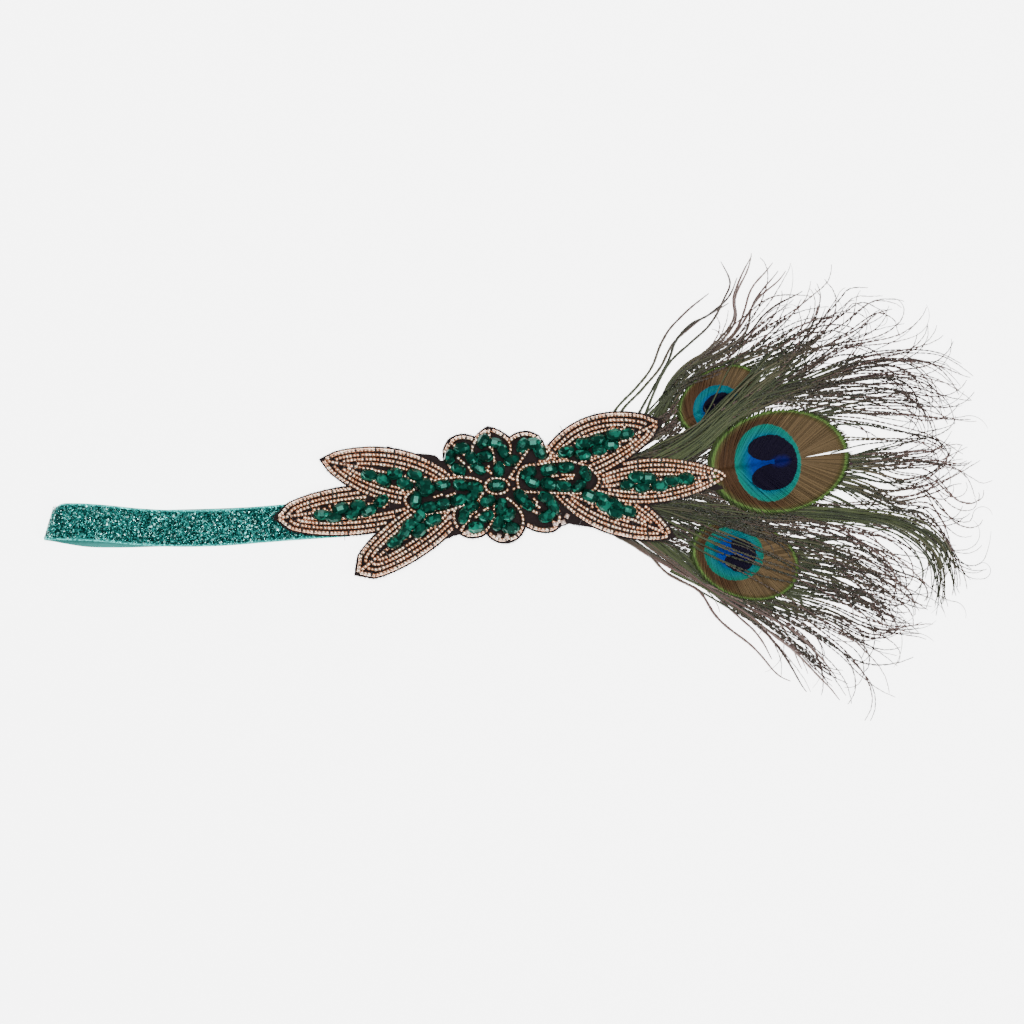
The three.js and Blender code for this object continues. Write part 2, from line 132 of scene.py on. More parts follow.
def bump(made, height, strength, distance):
    """Relief from a height, in metres, led to the shader."""
    relief = node(made, "Bump", [("Strength", strength), ("Distance", distance), ("Height", height)])
    wire(made, "Normal", relief.outputs[0])


white_table = finish("white_table", Roughness=0.7, Emission_Color=(1, 1, 1, 1), Emission_Strength=5.0)
grain = noise(white_table, spot_in(white_table), 60.0)
chalk = ramp(white_table, grain, [(0.3, (0.90, 0.90, 0.90)), (0.7, (0.93, 0.93, 0.93))])
wire(white_table, "Base Color", chalk)
table.data.materials.append(white_table)

room = bpy.data.worlds.new("pale_room")
room.use_nodes = True
room.node_tree.nodes["Background"].inputs["Color"].default_value = (1, 1, 1, 1)
room.node_tree.nodes["Background"].inputs["Strength"].default_value = ROOM_LIGHT
bpy.context.scene.world = room

for name, place, width, power in LAMPS:
    bpy.ops.object.light_add(type="AREA", location=place)
    lamp = bpy.context.object
    lamp.name = name
    lamp.data.size = width
    lamp.data.energy = power
    lamp.rotation_euler = (Vector((0.0, 0.0, 0.0)) - Vector(place)).to_track_quat("-Z", "Y").to_euler()

bpy.ops.object.camera_add(location=(*PICTURE_MIDDLE, MIDDLE_HEIGHT + PICTURE_WIDTH * LENS / SENSOR))
camera = bpy.context.object
camera.rotation_euler = (0, 0, 0)
camera.data.lens = LENS
camera.data.sensor_width = SENSOR
camera.data.clip_start = 0.01
bpy.context.scene.camera = camera

# The elastic. One woven teal elastic 15.5 mm wide, its outer face covered in metal glitter
# and its edges left bare. It runs from under the left leaf, folds back in a soft bulb at
# the far left, and lies along the table to its other end under the right leaves.
BAND_WIDTH = 15.5
BAND_THICK = 1.0
BAND_STATIONS = [  # x, y, height of the middle line and lean of the cross line, mm
    (-62.2, -13.5, 2.4, 0.0), (-92.3, -15.6, 2.4, 0.0), (-116.8, -17.5, 2.2, 0.0), (-136.0, -17.8, 1.95, 0.0),
    (-152.0, -17.0, 2.0, 0.03), (-164.0, -15.8, 3.2, 0.12), (-175.5, -15.0, 5.9, 0.26),
    (-182.0, -14.9, 6.25, 0.3),
    (-185.5, -14.9, 5.9, 0.3), (-187.6, -14.9, 4.6, 0.3), (-188.0, -15.0, 3.2, 0.3),
    (-187.2, -15.2, 1.6, 0.3),
    (-185.0, -15.6, 0.65, 0.28), (-180.0, -16.6, 0.5, 0.24), (-172.0, -17.9, 0.5, 0.12),
    (-160.0, -18.2, 0.5, 0.03),
    (-143.2, -17.8, 0.5, 0.0), (-94.2, -15.8, 0.5, 0.0), (0.0, -4.65, 0.5, 0.0), (20.0, -2.3, 0.55, 0.0),
    (35.0, 0.0, 2.3, 0.0), (50.0, 1.3, 2.4, 0.0), (74.0, 3.1, 2.4, 0.0),
]
BAND_STEP = 1.0
BAND_ACROSS = 24
SELVAGE = 1.0
BAND_RIM = 0.5  # how far in from its edges the elastic thins out
CORNER_X = -181.0  # the fold's far corner is drawn in from here
CORNER_LENGTH = 7
CORNER_Y = -12.2
CORNER_WIDTH = 5.0
CORNER_DRAWN = (3.4, 1.0)


def run_along(line):
    """How far along a line each of its points lies."""
    return np.concatenate([[0], np.cumsum(np.linalg.norm(np.diff(line, axis=0), axis=1))])


def smooth_line(knots, step):
    """Evenly spaced points on a smooth line through knots; more columns than three ride along."""
    knots = np.array(knots, float)
    gaps = np.linalg.norm(np.diff(knots[:, :3], axis=0), axis=1) ** 0.5
    places = np.concatenate([[0], np.cumsum(gaps)])
    slopes = np.gradient(knots, places, axis=0)
    fine = np.linspace(0, places[-1], 60 * len(knots))
    spans = np.clip(np.searchsorted(places, fine, side="right") - 1, 0, len(knots) - 2)
    width = (places[spans + 1] - places[spans])[:, None]
    t = ((fine - places[spans])[:, None]) / width
    dense = (
        (2 * t**3 - 3 * t**2 + 1) * knots[spans] + (t**3 - 2 * t**2 + t) * width * slopes[spans]
        + (3 * t**2 - 2 * t**3) * knots[spans + 1] + (t**3 - t**2) * width * slopes[spans + 1]
    )
    run = run_along(dense[:, :3])
    even = np.linspace(0, run[-1], max(3, int(round(run[-1] / step)) + 1))
    return np.stack([np.interp(even, run, dense[:, k]) for k in range(dense.shape[1])], axis=1), even


def solid(name, points, faces, finishes, kinds=None, smooth=True, values=None):
    """A mesh object from points in mm, with each face's finish and each point's named values."""
    mesh = bpy.data.meshes.new(name)
    mesh.from_pydata((np.asarray(points) * MM).tolist(), [], faces)
    for one in finishes:
        mesh.materials.append(one)
    if kinds is not None:
        mesh.polygons.foreach_set("material_index", np.asarray(kinds, np.int32))
    smooth = smooth if isinstance(smooth, list) else [smooth] * len(mesh.polygons)
    mesh.polygons.foreach_set("use_smooth", smooth)
    for label, value in (values or {}).items():
        layer = mesh.attributes.new(label, "FLOAT", "POINT")
        layer.data.foreach_set("value", np.asarray(value, np.float32))
    made = bpy.data.objects.new(name, mesh)
    bpy.context.scene.collection.objects.link(made)
    mesh.validate()
    return made


band, band_run = smooth_line(BAND_STATIONS, BAND_STEP)
lead = np.gradient(band[:, :3], axis=0)
lead[:, 1] = 0
lead /= np.linalg.norm(lead, axis=1)[:, None]
outward = np.stack([lead[:, 2], 0 * lead[:, 0], -lead[:, 0]], axis=1)
cross = np.linspace(-0.5, 0.5, BAND_ACROSS + 1) * BAND_WIDTH
rim_round = 1 - np.clip(np.abs(cross) - (BAND_WIDTH / 2 - BAND_RIM), 0, BAND_RIM) * 1.1
across = np.concatenate([cross, cross[::-1]])
layer = np.concatenate([rim_round, -rim_round[::-1]]) * BAND_THICK / 2
width_ways = [
    band[:, 3][:, None] * across, np.ones((len(band), 1)) * across, np.zeros((len(band), len(across)))]
band_points = band[:, None, :3] + np.stack(width_ways, axis=2) + outward[:, None, :] * layer[None, :, None]
corner = np.clip((CORNER_X - band_points[:, :, 0]) / CORNER_LENGTH, 0, 1)
corner = corner * np.clip((band_points[:, :, 1] - CORNER_Y) / CORNER_WIDTH, 0, 1) ** 1.5
band_points[:, :, 0] += CORNER_DRAWN[0] * corner**1.8
band_points[:, :, 1] -= CORNER_DRAWN[1] * corner
ring = len(across)
steps = len(band)
band_faces = []
band_kinds = []
for i in range(steps - 1):
    for j in range(ring):
        k = (j + 1) % ring
        band_faces.append((i * ring + j, i * ring + k, (i + 1) * ring + k, (i + 1) * ring + j))
        band_kinds.append(0 if j < BAND_ACROSS else 1)
for start, turned in ((0, True), ((steps - 1) * ring, False)):
    for j in range(BAND_ACROSS):
        quad = (start + j, start + j + 1, start + ring - 2 - j, start + ring - 1 - j)
        band_faces.append(quad[::-1] if turned else quad)
        band_kinds.append(1)



def value_in(made, label):
    """One of the named values that a mesh's points carry."""
    return node(made, "Attribute", attribute_name=label).outputs["Fac"]


def scaled(made, value, factor, extra):
    """A value times a factor, plus an extra."""
    return sum_of(made, "ADD", sum_of(made, "MULTIPLY", value, factor), extra)


AQUA = (0.04, 0.42, 0.38)
glitter_cloth = finish("glitter_cloth", Roughness=0.34, Metallic=0.85)
along = value_in(glitter_cloth, "along_mm")
side = value_in(glitter_cloth, "across_mm")
cloth_place = node(glitter_cloth, "CombineXYZ", [(0, along), (1, side)]).outputs[0]
flecks = node(glitter_cloth, "TexVoronoi", [("Vector", cloth_place), ("Scale", 1.7)], voronoi_dimensions="2D")
tilt = [(0, flecks.outputs["Color"]), (1, (0.5, 0.5, 0.5))]
tilt = node(glitter_cloth, "VectorMath", tilt, operation="SUBTRACT")
tilt = node(glitter_cloth, "VectorMath", [(0, tilt.outputs[0]), (3, 1.3)], operation="SCALE")
upright = node(glitter_cloth, "NewGeometry").outputs["Normal"]
tilted = node(glitter_cloth, "VectorMath", [(0, upright), (1, tilt.outputs[0])], operation="ADD")
tilted = node(glitter_cloth, "VectorMath", [(0, tilted.outputs[0])], operation="NORMALIZE")
wire(glitter_cloth, "Normal", tilted.outputs[0])
# Each fleck's colour is drawn at random from dark teal to pale mint; the palest flecks are a painted glint,
# on top of the sparkle from their tilted normals.
fleck_pick = node(glitter_cloth, "SeparateColor", [(0, flecks.outputs["Color"])]).outputs[0]
fleck_tone_and_painted_glint = ramp(glitter_cloth, fleck_pick, [
    (0.0, (0.001, 0.022, 0.019)), (0.45, (0.002, 0.065, 0.058)), (0.75, (0.006, 0.15, 0.135)),
    (0.9, (0.05, 0.42, 0.38)), (0.99, (0.5, 1.0, 0.92)),
])
edge_share = sum_of(glitter_cloth, "ABSOLUTE", side)
edge_share = node(glitter_cloth, "MapRange", [
    (0, edge_share), (1, BAND_WIDTH / 2 - SELVAGE - 0.1), (2, BAND_WIDTH / 2 - SELVAGE + 0.15)]).outputs[0]
wire(glitter_cloth, "Base Color", mix(glitter_cloth, edge_share, fleck_tone_and_painted_glint, AQUA))

woven_back = finish("woven_back", Roughness=0.62, Sheen_Weight=0.3, Specular_IOR_Level=0.4)
along = value_in(woven_back, "along_mm")
side = value_in(woven_back, "across_mm")
ribs = sum_of(woven_back, "SINE", sum_of(woven_back, "MULTIPLY", side, 9.0))
picks = sum_of(woven_back, "SINE", sum_of(woven_back, "MULTIPLY", along, 12.0))
weave = sum_of(woven_back, "MULTIPLY", ribs, picks)
weave = scaled(woven_back, weave, 0.5, 0.5)
cloudy = noise(woven_back, spot_in(woven_back), 90.0, 3.0)
wire(woven_back, "Base Color", mix(woven_back, cloudy, (0.008, 0.15, 0.135), (0.03, 0.30, 0.27)))
bump(woven_back, weave, 0.5, 0.00012)

elastic = solid(
    "elastic", band_points.reshape(-1, 3), band_faces, [glitter_cloth, woven_back], band_kinds,
    values={"along_mm": np.repeat(band_run, ring), "across_mm": np.tile(across, steps)})
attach(elastic, "root")
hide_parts("elastic_band")

# The glitter. Loose chips of metal foil bonded to the elastic's outer face, each at its own
# tilt, and each chip's colour painted at random from near black to pale mint, a painted glint, so that some
# flash and some stay dark. One chip is made, and copied.
CHIP_WIDTH = 0.45
CHIP_COUNT = 9000
CHIP_TILT = 38
CHIP_DEPTH = 0.16
GLITTER_LOW = 1.4  # the glitter ends where the elastic turns under, at this height


def picked(made):
    """The points and faces of a finished shape in mm; the shape itself is then removed."""
    mesh = made.data
    points = np.array([v.co for v in mesh.vertices]) / MM
    faces = [tuple(p.vertices) for p in mesh.polygons]
    bpy.data.objects.remove(made)
    return points, faces


def placed(where, turns=(0, 0, 0), size=(1, 1, 1)):
    """A placing matrix from a place in mm, turns in degrees and a size."""
    turn = Matrix.Rotation(math.radians(turns[2]), 4, "Z") @ Matrix.Rotation(math.radians(turns[1]), 4, "Y")
    turn = turn @ Matrix.Rotation(math.radians(turns[0]), 4, "X")
    return np.array(Matrix.Translation(where) @ turn @ Matrix.Diagonal((*size, 1)))


def copies(shape, places):
    """One shape's points and faces, copied to each placing matrix."""
    points, faces = shape
    moved = [points @ m[:3, :3].T + m[:3, 3] for m in places]
    count = len(points)
    return np.concatenate(moved), [tuple(i + k * count for i in f) for k in range(len(places)) for f in faces]


bpy.ops.object.select_all(action="DESELECT")
bpy.ops.mesh.primitive_cone_add(vertices=4, radius1=0.5 * MM, depth=CHIP_DEPTH * MM)
chip = picked(bpy.context.object)
draws = np.random.default_rng(11)
chip_places = []
chip_painted_glints = []
run_end = band_run[np.argmax(band[:, 2] < GLITTER_LOW)]
while len(chip_places) < CHIP_COUNT:
    run = draws.uniform(0, run_end)
    offset = draws.uniform(-1, 1) * (BAND_WIDTH / 2 - SELVAGE)
    at = [np.interp(run, band_run, band[:, k]) for k in range(4)]
    out = np.array([np.interp(run, band_run, outward[:, k]) for k in range(3)])
    where = np.array([at[0] + at[3] * offset, at[1] + offset, at[2]]) + out * (BAND_THICK / 2 + 0.05)
    tip = math.degrees(math.atan2(out[0], out[2]))
    turns = (*draws.normal(0, CHIP_TILT / 2, 2), draws.uniform(0, 360))
    wide = CHIP_WIDTH * draws.uniform(0.7, 1.25)
    lean = placed((0, 0, 0), (0, tip, 0)) @ placed((0, 0, 0), turns, (wide, wide, wide))
    lean[:3, 3] = where
    chip_places.append(lean)
    # A random share per chip that picks its colour: a painted glint, pale mint for a few chips and near black
    # for many.
    chip_painted_glints.append(draws.beta(1.1, 2.0))
chip_points, chip_faces = copies(chip, chip_places)
foil = finish("glitter_foil", Roughness=0.26, Metallic=1.0)
# The chips' colour ramp from near black to pale mint is a painted glint and painted dark, beside the flash
# from each chip's tilt.
painted_glint = value_in(foil, "painted_glint")
wire(foil, "Base Color", ramp(foil, painted_glint, [
    (0.0, (0.001, 0.025, 0.022)), (0.4, (0.004, 0.095, 0.085)),
    (0.7, (0.05, 0.42, 0.37)), (0.86, (0.55, 1.0, 0.93)),
]))
elastic_glitter = solid("elastic_glitter", chip_points, chip_faces, [foil], smooth=False, values={
    "painted_glint": np.repeat(chip_painted_glints, len(chip[0]))})
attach(elastic_glitter, "root")

# The felt. One dark plum-brown felt cut round the whole ornament, a millimetre wider than the
# beadwork, with a soft hairy cut edge. Leaves and petals are blades that share this backing.
FELT_LOW = 3.2
FELT_TOP = 4.72
FELT_MARGIN = 1.0
SEED = 1.95
ROW = 2.05
LEAVES = [  # name, root x and y, aim, length, width, bow, bluntness and slope of the tip
    ("leaf_left_top", -13.0, -3.0, 167, 62.0, 21.6, 0, 0.68, 0.85),
    ("leaf_left_bottom", -12.0, -3.3, 215.5, 57.4, 18.8, 0, 0.42, 1.05),
    ("leaf_left_mid", -25.9, -6.7, 185.8, 67.0, 19.4, 0, 0.46, 0.95),
    ("leaf_right_top", 15.0, 2.0, 25, 58.8, 23.2, 0.045, 0.68, 0.9),
    ("leaf_right_mid", 33.0, 0.0, 4, 64.2, 18.4, 0, 0.8, 0.62),
    ("leaf_right_bottom", 21.0, 2.0, -23.5, 57.4, 18.4, 0, 0.7, 0.8),
]
PETALS = [  # name, aim, reach, width, bluntness
    ("petal_right", 4, 43.0, 14.9, 0.6),
    ("petal_left", 192, 38.7, 13.7, 0.6),
    ("petal_up", 99, 24.5, 17.5, 0.8),
    ("petal_up_left", 137, 27.5, 16.8, 0.5),
    ("petal_up_right", 51, 26.7, 16.8, 0.5),
    ("petal_down_left", 231, 24.9, 17.5, 0.5),
    ("petal_down", 282, 23.7, 16.8, 0.5),
    ("petal_down_right", 328, 31.0, 14.6, 0.5),
]
PETAL_ROOT = 3.6
CENTRE_OVAL = (6.0, 4.3)
PIXEL = 0.42  # the tables of single beads and felt corners count in steps of 0.42 mm
FELT_WEBS = [  # felt left standing between and beyond the blades
    [(-111, 40), (-83, 33), (-62, 31), (-50, 20), (-90, 18)],
    [(-68, 24), (-42, 27), (-26, 4), (-50, -2), (-70, 6)],
    [(229, 12), (227.5, -3), (215, -4.5), (200, 0)],
    [(172, -42), (174, -48), (158, -53), (150, -40)],
    [(-43, -50), (-60, -57), (-78, -67), (-60, -36), (-29, -47)],
    [(56, -43), (72, -38), (91, -41), (104, -43), (84, -20), (46, -20)],
]


def blade_outline(x, y, aim, length, width, bow, peak, blunt, slope, trims, inset, count):
    """A blade's outline at an inset, from its root up the left side to its tip and back."""
    start = inset * trims[0]
    long = length - start - inset * trims[1]
    t = np.arange(1, count) / count
    wide = np.minimum((width / 2 - inset) * np.sin(np.pi * t**peak) ** blunt, slope * (1 - t) * long)
    t = np.concatenate([[0], t, [1], t[::-1]])
    wide = np.concatenate([[0], wide, [0], -wide[::-1]])
    forward = start + t * long
    sideways = wide + bow * length * np.sin(np.pi * t)
    c, s = math.cos(math.radians(aim)), math.sin(math.radians(aim))
    return np.stack([x + c * forward - s * sideways, y + s * forward + c * sideways], axis=1)


def leaf_outline(leaf, inset, count=48):
    """A leaf's outline."""
    name, x, y, aim, length, width, bow, blunt, slope = leaf
    return blade_outline(x, y, aim, length, width, bow, 0.95, blunt, slope, (1.5, 1.55), inset, count)


def petal_outline(petal, inset, count=24):
    """A petal's outline."""
    name, aim, reach, width, blunt = petal
    x, y = PETAL_ROOT * math.cos(math.radians(aim)), PETAL_ROOT * math.sin(math.radians(aim))
    return blade_outline(x, y, aim, reach - PETAL_ROOT, width, 0, 1.25, blunt, 9, (1.1, 1.1), inset, count)


def oval_outline(inset, count=40):
    """The outline of the ring round the centre bead."""
    turn = np.linspace(0, 2 * np.pi, count, endpoint=False)
    long, wide = CENTRE_OVAL[0] - inset, CENTRE_OVAL[1] - inset
    return np.stack([long * np.cos(turn), wide * np.sin(turn)], axis=1)


def cut_blank(outline):
    """A flat felt blank with this outline."""
    count = len(outline)
    doubled = np.sum(outline[:, 0] * np.roll(outline[:, 1], -1) - outline[:, 1] * np.roll(outline[:, 0], -1))
    if doubled < 0:
        outline = outline[::-1]
    points = [(*p, FELT_LOW) for p in outline] + [(*p, FELT_TOP) for p in outline]
    faces = [tuple(range(count))[::-1], tuple(range(count, 2 * count))]
    faces += [(i, (i + 1) % count, count + (i + 1) % count, count + i) for i in range(count)]
    return solid("blank", points, faces, [])


outlines = [leaf_outline(leaf, -FELT_MARGIN) for leaf in LEAVES]
outlines += [petal_outline(petal, -FELT_MARGIN) for petal in PETALS]
outlines += [np.array(web) * PIXEL for web in FELT_WEBS]
felt = cut_blank(oval_outline(-FELT_MARGIN))
felt.name = "felt"
for outline in outlines:
    blank = cut_blank(outline)
    union = felt.modifiers.new("union", "BOOLEAN")
    union.operation = "UNION"
    union.solver = "EXACT"
    union.object = blank
    bpy.context.view_layer.objects.active = felt
    bpy.ops.object.modifier_apply(modifier="union")
    bpy.data.objects.remove(blank)
soften = felt.modifiers.new("soften", "BEVEL")
soften.width = 0.3 * MM
soften.segments = 3
soften.limit_method = "ANGLE"
soften.angle_limit = math.radians(50)
bpy.ops.object.modifier_apply(modifier="soften")

felt_wool = finish("felt_wool", Roughness=0.95, Sheen_Weight=0.12, Specular_IOR_Level=0.1)
spot = spot_in(felt_wool)
fibres = noise(felt_wool, spot, 2600.0, 5.0, 1.2)
patches = sum_of(felt_wool, "MULTIPLY", noise(felt_wool, spot, 260.0, 3.0), 0.6)
wool = ramp(felt_wool, fibres, [(0.3, (0.005, 0.0035, 0.0035)), (0.7, (0.026, 0.017, 0.017))])
wire(felt_wool, "Base Color", mix(felt_wool, patches, wool, (0.013, 0.008, 0.009)))
bump(felt_wool, fibres, 0.7, 0.0003)
felt.data.materials.append(felt_wool)
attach(felt, "root")
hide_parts("felt_backing")

# The fuzz. Short dark hairs stand out from the felt's cut edge, the more the larger a face
# of it is. Each hair is a thin three-sided taper.
FUZZ_COUNT = 3400
FUZZ_ACROSS = (0.31, 0.2, 0.93)  # any way that no hair points, to give each hair its sides
draws = np.random.default_rng(23)
rim_polygons = [p for p in felt.data.polygons if abs(p.normal.z) < 0.7]
rim_weights = np.array([p.area for p in rim_polygons])
fuzz_points = []
fuzz_faces = []
for pick in draws.choice(len(rim_polygons), FUZZ_COUNT, p=rim_weights / rim_weights.sum()):
    face = rim_polygons[pick]
    corners = np.array([felt.data.vertices[i].co for i in face.vertices]) / MM
    shares = draws.dirichlet(np.ones(len(corners)))
    root = shares @ corners
    out = np.array(face.normal) + draws.normal(0, 0.5, 3)
    out /= np.linalg.norm(out)
    sideways = np.cross(out, FUZZ_ACROSS)
    sideways /= np.linalg.norm(sideways)
    length = draws.uniform(0.25, 0.85)
    curl = draws.normal(0, 0.25, 3)
    start = len(fuzz_points)
    for share, thick in ((0, 0.05), (0.5, 0.04)):
        middle = root + out * length * share + curl * length * share**2
        up = np.cross(out, sideways)
        fuzz_points += [middle + sideways * thick, middle + up * thick, middle - sideways * thick]
    fuzz_points.append(root + out * length + curl * length)
    for a in range(3):
        b = (a + 1) % 3
        fuzz_faces.append((start + a, start + b, start + 3 + b, start + 3 + a))
        fuzz_faces.append((start + 3 + a, start + 3 + b, start + 6))
    fuzz_faces.append((start + 2, start + 1, start))
felt_fuzz = solid("felt_fuzz", np.array(fuzz_points), fuzz_faces, [felt_wool])
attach(felt_fuzz, "root")

# The beadwork. Silver-lined rose-gold seed beads couched in rows along each leaf and petal,
# oval fire-polished emerald glass beads filling them, and black thread that ties the rows
# down. One seed bead, one glass bead and one stitch are modelled, and copied.
SEED_RADIUS = 0.98
SEED_LENGTH = 1.42
GLASS_RADIUS = 2.5
GLASS_LENGTH = 2.6
GLASS_CUT = 0.62
STITCH_RADIUS = 0.9
THREAD = 0.15
bpy.ops.object.select_all(action="DESELECT")
bpy.ops.mesh.primitive_cylinder_add(vertices=8, radius=SEED_RADIUS * MM, depth=SEED_LENGTH * MM,
                                    rotation=(0, math.pi / 2, 0))
bpy.ops.object.transform_apply()
seed_bead = bpy.context.object
bpy.ops.object.mode_set(mode="EDIT")
bpy.ops.mesh.select_all(action="DESELECT")
bpy.ops.object.mode_set(mode="OBJECT")
for face in seed_bead.data.polygons:
    face.select = abs(face.normal.x) > 0.9
bpy.ops.object.mode_set(mode="EDIT")
bpy.ops.mesh.select_mode(type="FACE")
bpy.ops.mesh.inset(thickness=0.22 * MM, depth=0)
bpy.ops.transform.resize(value=(1.14, 1, 1))
bpy.ops.mesh.inset(thickness=0.24 * MM, depth=-0.12 * MM)
bpy.ops.object.mode_set(mode="OBJECT")
seed_shape = picked(seed_bead)

bpy.ops.mesh.primitive_cylinder_add(vertices=9, radius=GLASS_RADIUS * MM, depth=GLASS_LENGTH * MM,
                                    rotation=(0, math.pi / 2, 0))
bpy.ops.object.transform_apply()
glass_bead = bpy.context.object
for face in glass_bead.data.polygons:
    face.select = abs(face.normal.x) > 0.9
bpy.ops.object.mode_set(mode="EDIT")
bpy.ops.mesh.select_mode(type="FACE")
bpy.ops.mesh.inset(thickness=GLASS_CUT * MM, depth=0)
bpy.ops.transform.resize(value=(2.15, 1, 1))
bpy.ops.transform.rotate(value=math.radians(22.5), orient_axis="X", center_override=(0, 0, 0))
bpy.ops.mesh.inset(thickness=GLASS_CUT * MM, depth=0)
bpy.ops.transform.resize(value=(1.22, 1, 1))
bpy.ops.mesh.inset(thickness=0.3 * MM, depth=-0.4 * MM)
bpy.ops.object.mode_set(mode="OBJECT")
glass_shape = picked(glass_bead)

bpy.ops.mesh.primitive_torus_add(major_segments=12, minor_segments=5, major_radius=STITCH_RADIUS * MM,
                                 minor_radius=THREAD * MM, rotation=(0, math.pi / 2, 0))
bpy.ops.object.transform_apply()
stitch = bpy.context.object
bpy.ops.object.mode_set(mode="EDIT")
bpy.ops.mesh.select_all(action="SELECT")
bpy.ops.mesh.bisect(plane_co=(0, 0, -2 * THREAD * MM), plane_no=(0, 0, 1), clear_inner=True, use_fill=True)
bpy.ops.object.mode_set(mode="OBJECT")
stitch_shape = picked(stitch)

rose_gold = finish("rose_gold_seed", Roughness=0.27, Metallic=0.95, Coat_Weight=0.15, Coat_Roughness=0.1)
spot = spot_in(rose_gold)
each_bead = value_in(rose_gold, "bead")
tint = ramp(rose_gold, each_bead, [
    (0.0, (0.56, 0.30, 0.18)), (0.35, (0.82, 0.53, 0.38)),
    (0.7, (0.97, 0.71, 0.55)), (1.0, (1.0, 0.85, 0.72)),
])
# Painted highlight and painted shade: each seed bead is painted lightest at its top and darkest low on its
# sides, by the height of its points.
painted_top_light = value_in(rose_gold, "painted_top_light")
painted_shade_and_highlight = ramp(rose_gold, painted_top_light, [
    (0.0, (0.11, 0.045, 0.025)), (0.42, (0.36, 0.19, 0.12)),
    (0.7, (0.72, 0.52, 0.41)), (0.88, (1, 0.97, 0.93)),
])
tint_and_painted_light = node(rose_gold, "Mix", data_type="RGBA", blend_type="MULTIPLY")
tint_and_painted_light.inputs["Factor"].default_value = 1
rose_gold.node_tree.links.new(tint, tint_and_painted_light.inputs[6])
rose_gold.node_tree.links.new(painted_shade_and_highlight, tint_and_painted_light.inputs[7])
wire(rose_gold, "Base Color", tint_and_painted_light.outputs[2])
bump(rose_gold, noise(rose_gold, spot, 1500.0), 0.25, 0.0001)

clear_pink = finish("clear_pink_seed", Roughness=0.12, Metallic=0.5, Coat_Weight=0.8, Coat_Roughness=0.05)
each_bead = value_in(clear_pink, "bead")
pink = ramp(clear_pink, each_bead, [(0.0, (0.50, 0.34, 0.28)), (1.0, (0.70, 0.54, 0.48))])
wire(clear_pink, "Base Color", pink)

emerald = finish("emerald_glass", Roughness=0.2, IOR=1.5, Specular_IOR_Level=0.3,
                 Specular_Tint=(0.25, 1.0, 0.78, 1.0))
each_bead = value_in(emerald, "bead")
spot = spot_in(emerald)
# Painted reflection: random patches of lighter green over the glass stand in for light caught inside its
# facets.
painted_flash = node(emerald, "TexVoronoi", [("Vector", spot), ("Scale", 620.0), ("Randomness", 1.0)])
painted_flash = node(emerald, "SeparateColor", [(0, painted_flash.outputs["Color"])]).outputs[0]
painted_flash_noise = noise(emerald, spot, 300.0)
painted_flash = sum_of(emerald, "MULTIPLY", painted_flash, 0.7)
painted_flash = sum_of(emerald, "ADD", painted_flash, sum_of(emerald, "MULTIPLY", painted_flash_noise, 0.45))
green_with_painted_flash = ramp(emerald, painted_flash, [
    (0.25, (0.0002, 0.005, 0.003)), (0.5, (0.0005, 0.017, 0.011)),
    (0.74, (0.0012, 0.045, 0.029)), (0.9, (0.010, 0.15, 0.10)),
])
half_bead = sum_of(emerald, "MULTIPLY", each_bead, 0.5)
wire(emerald, "Base Color", mix(emerald, half_bead, green_with_painted_flash, (0.0006, 0.022, 0.014)))

black_thread = finish("black_thread", Roughness=0.8, Sheen_Weight=0.2)
spot = spot_in(black_thread)
ply = node(black_thread, "TexWave", [("Vector", spot), ("Scale", 900.0), ("Distortion", 2.0)]).outputs["Fac"]
twine = ramp(black_thread, ply, [(0.0, (0.006, 0.004, 0.005)), (1.0, (0.03, 0.02, 0.022))])
wire(black_thread, "Base Color", twine)
bump(black_thread, ply, 0.6, 0.0001)

SEEDS, GLASS, STITCHES, PALE = range(4)
barrels = {}  # which faces are smooth: a stitch's, a seed bead's round side, and none of a glass bead's
for kind, (points, faces) in enumerate((seed_shape, glass_shape, stitch_shape, seed_shape)):
    corners = [points[list(face)] for face in faces]
    ways = [np.cross(c[1] - c[0], c[2] - c[1]) for c in corners]
    barrels[kind] = [bool(kind == STITCHES or kind != GLASS and abs(w[0]) < 0.75 * np.linalg.norm(w))
                     for w in ways]

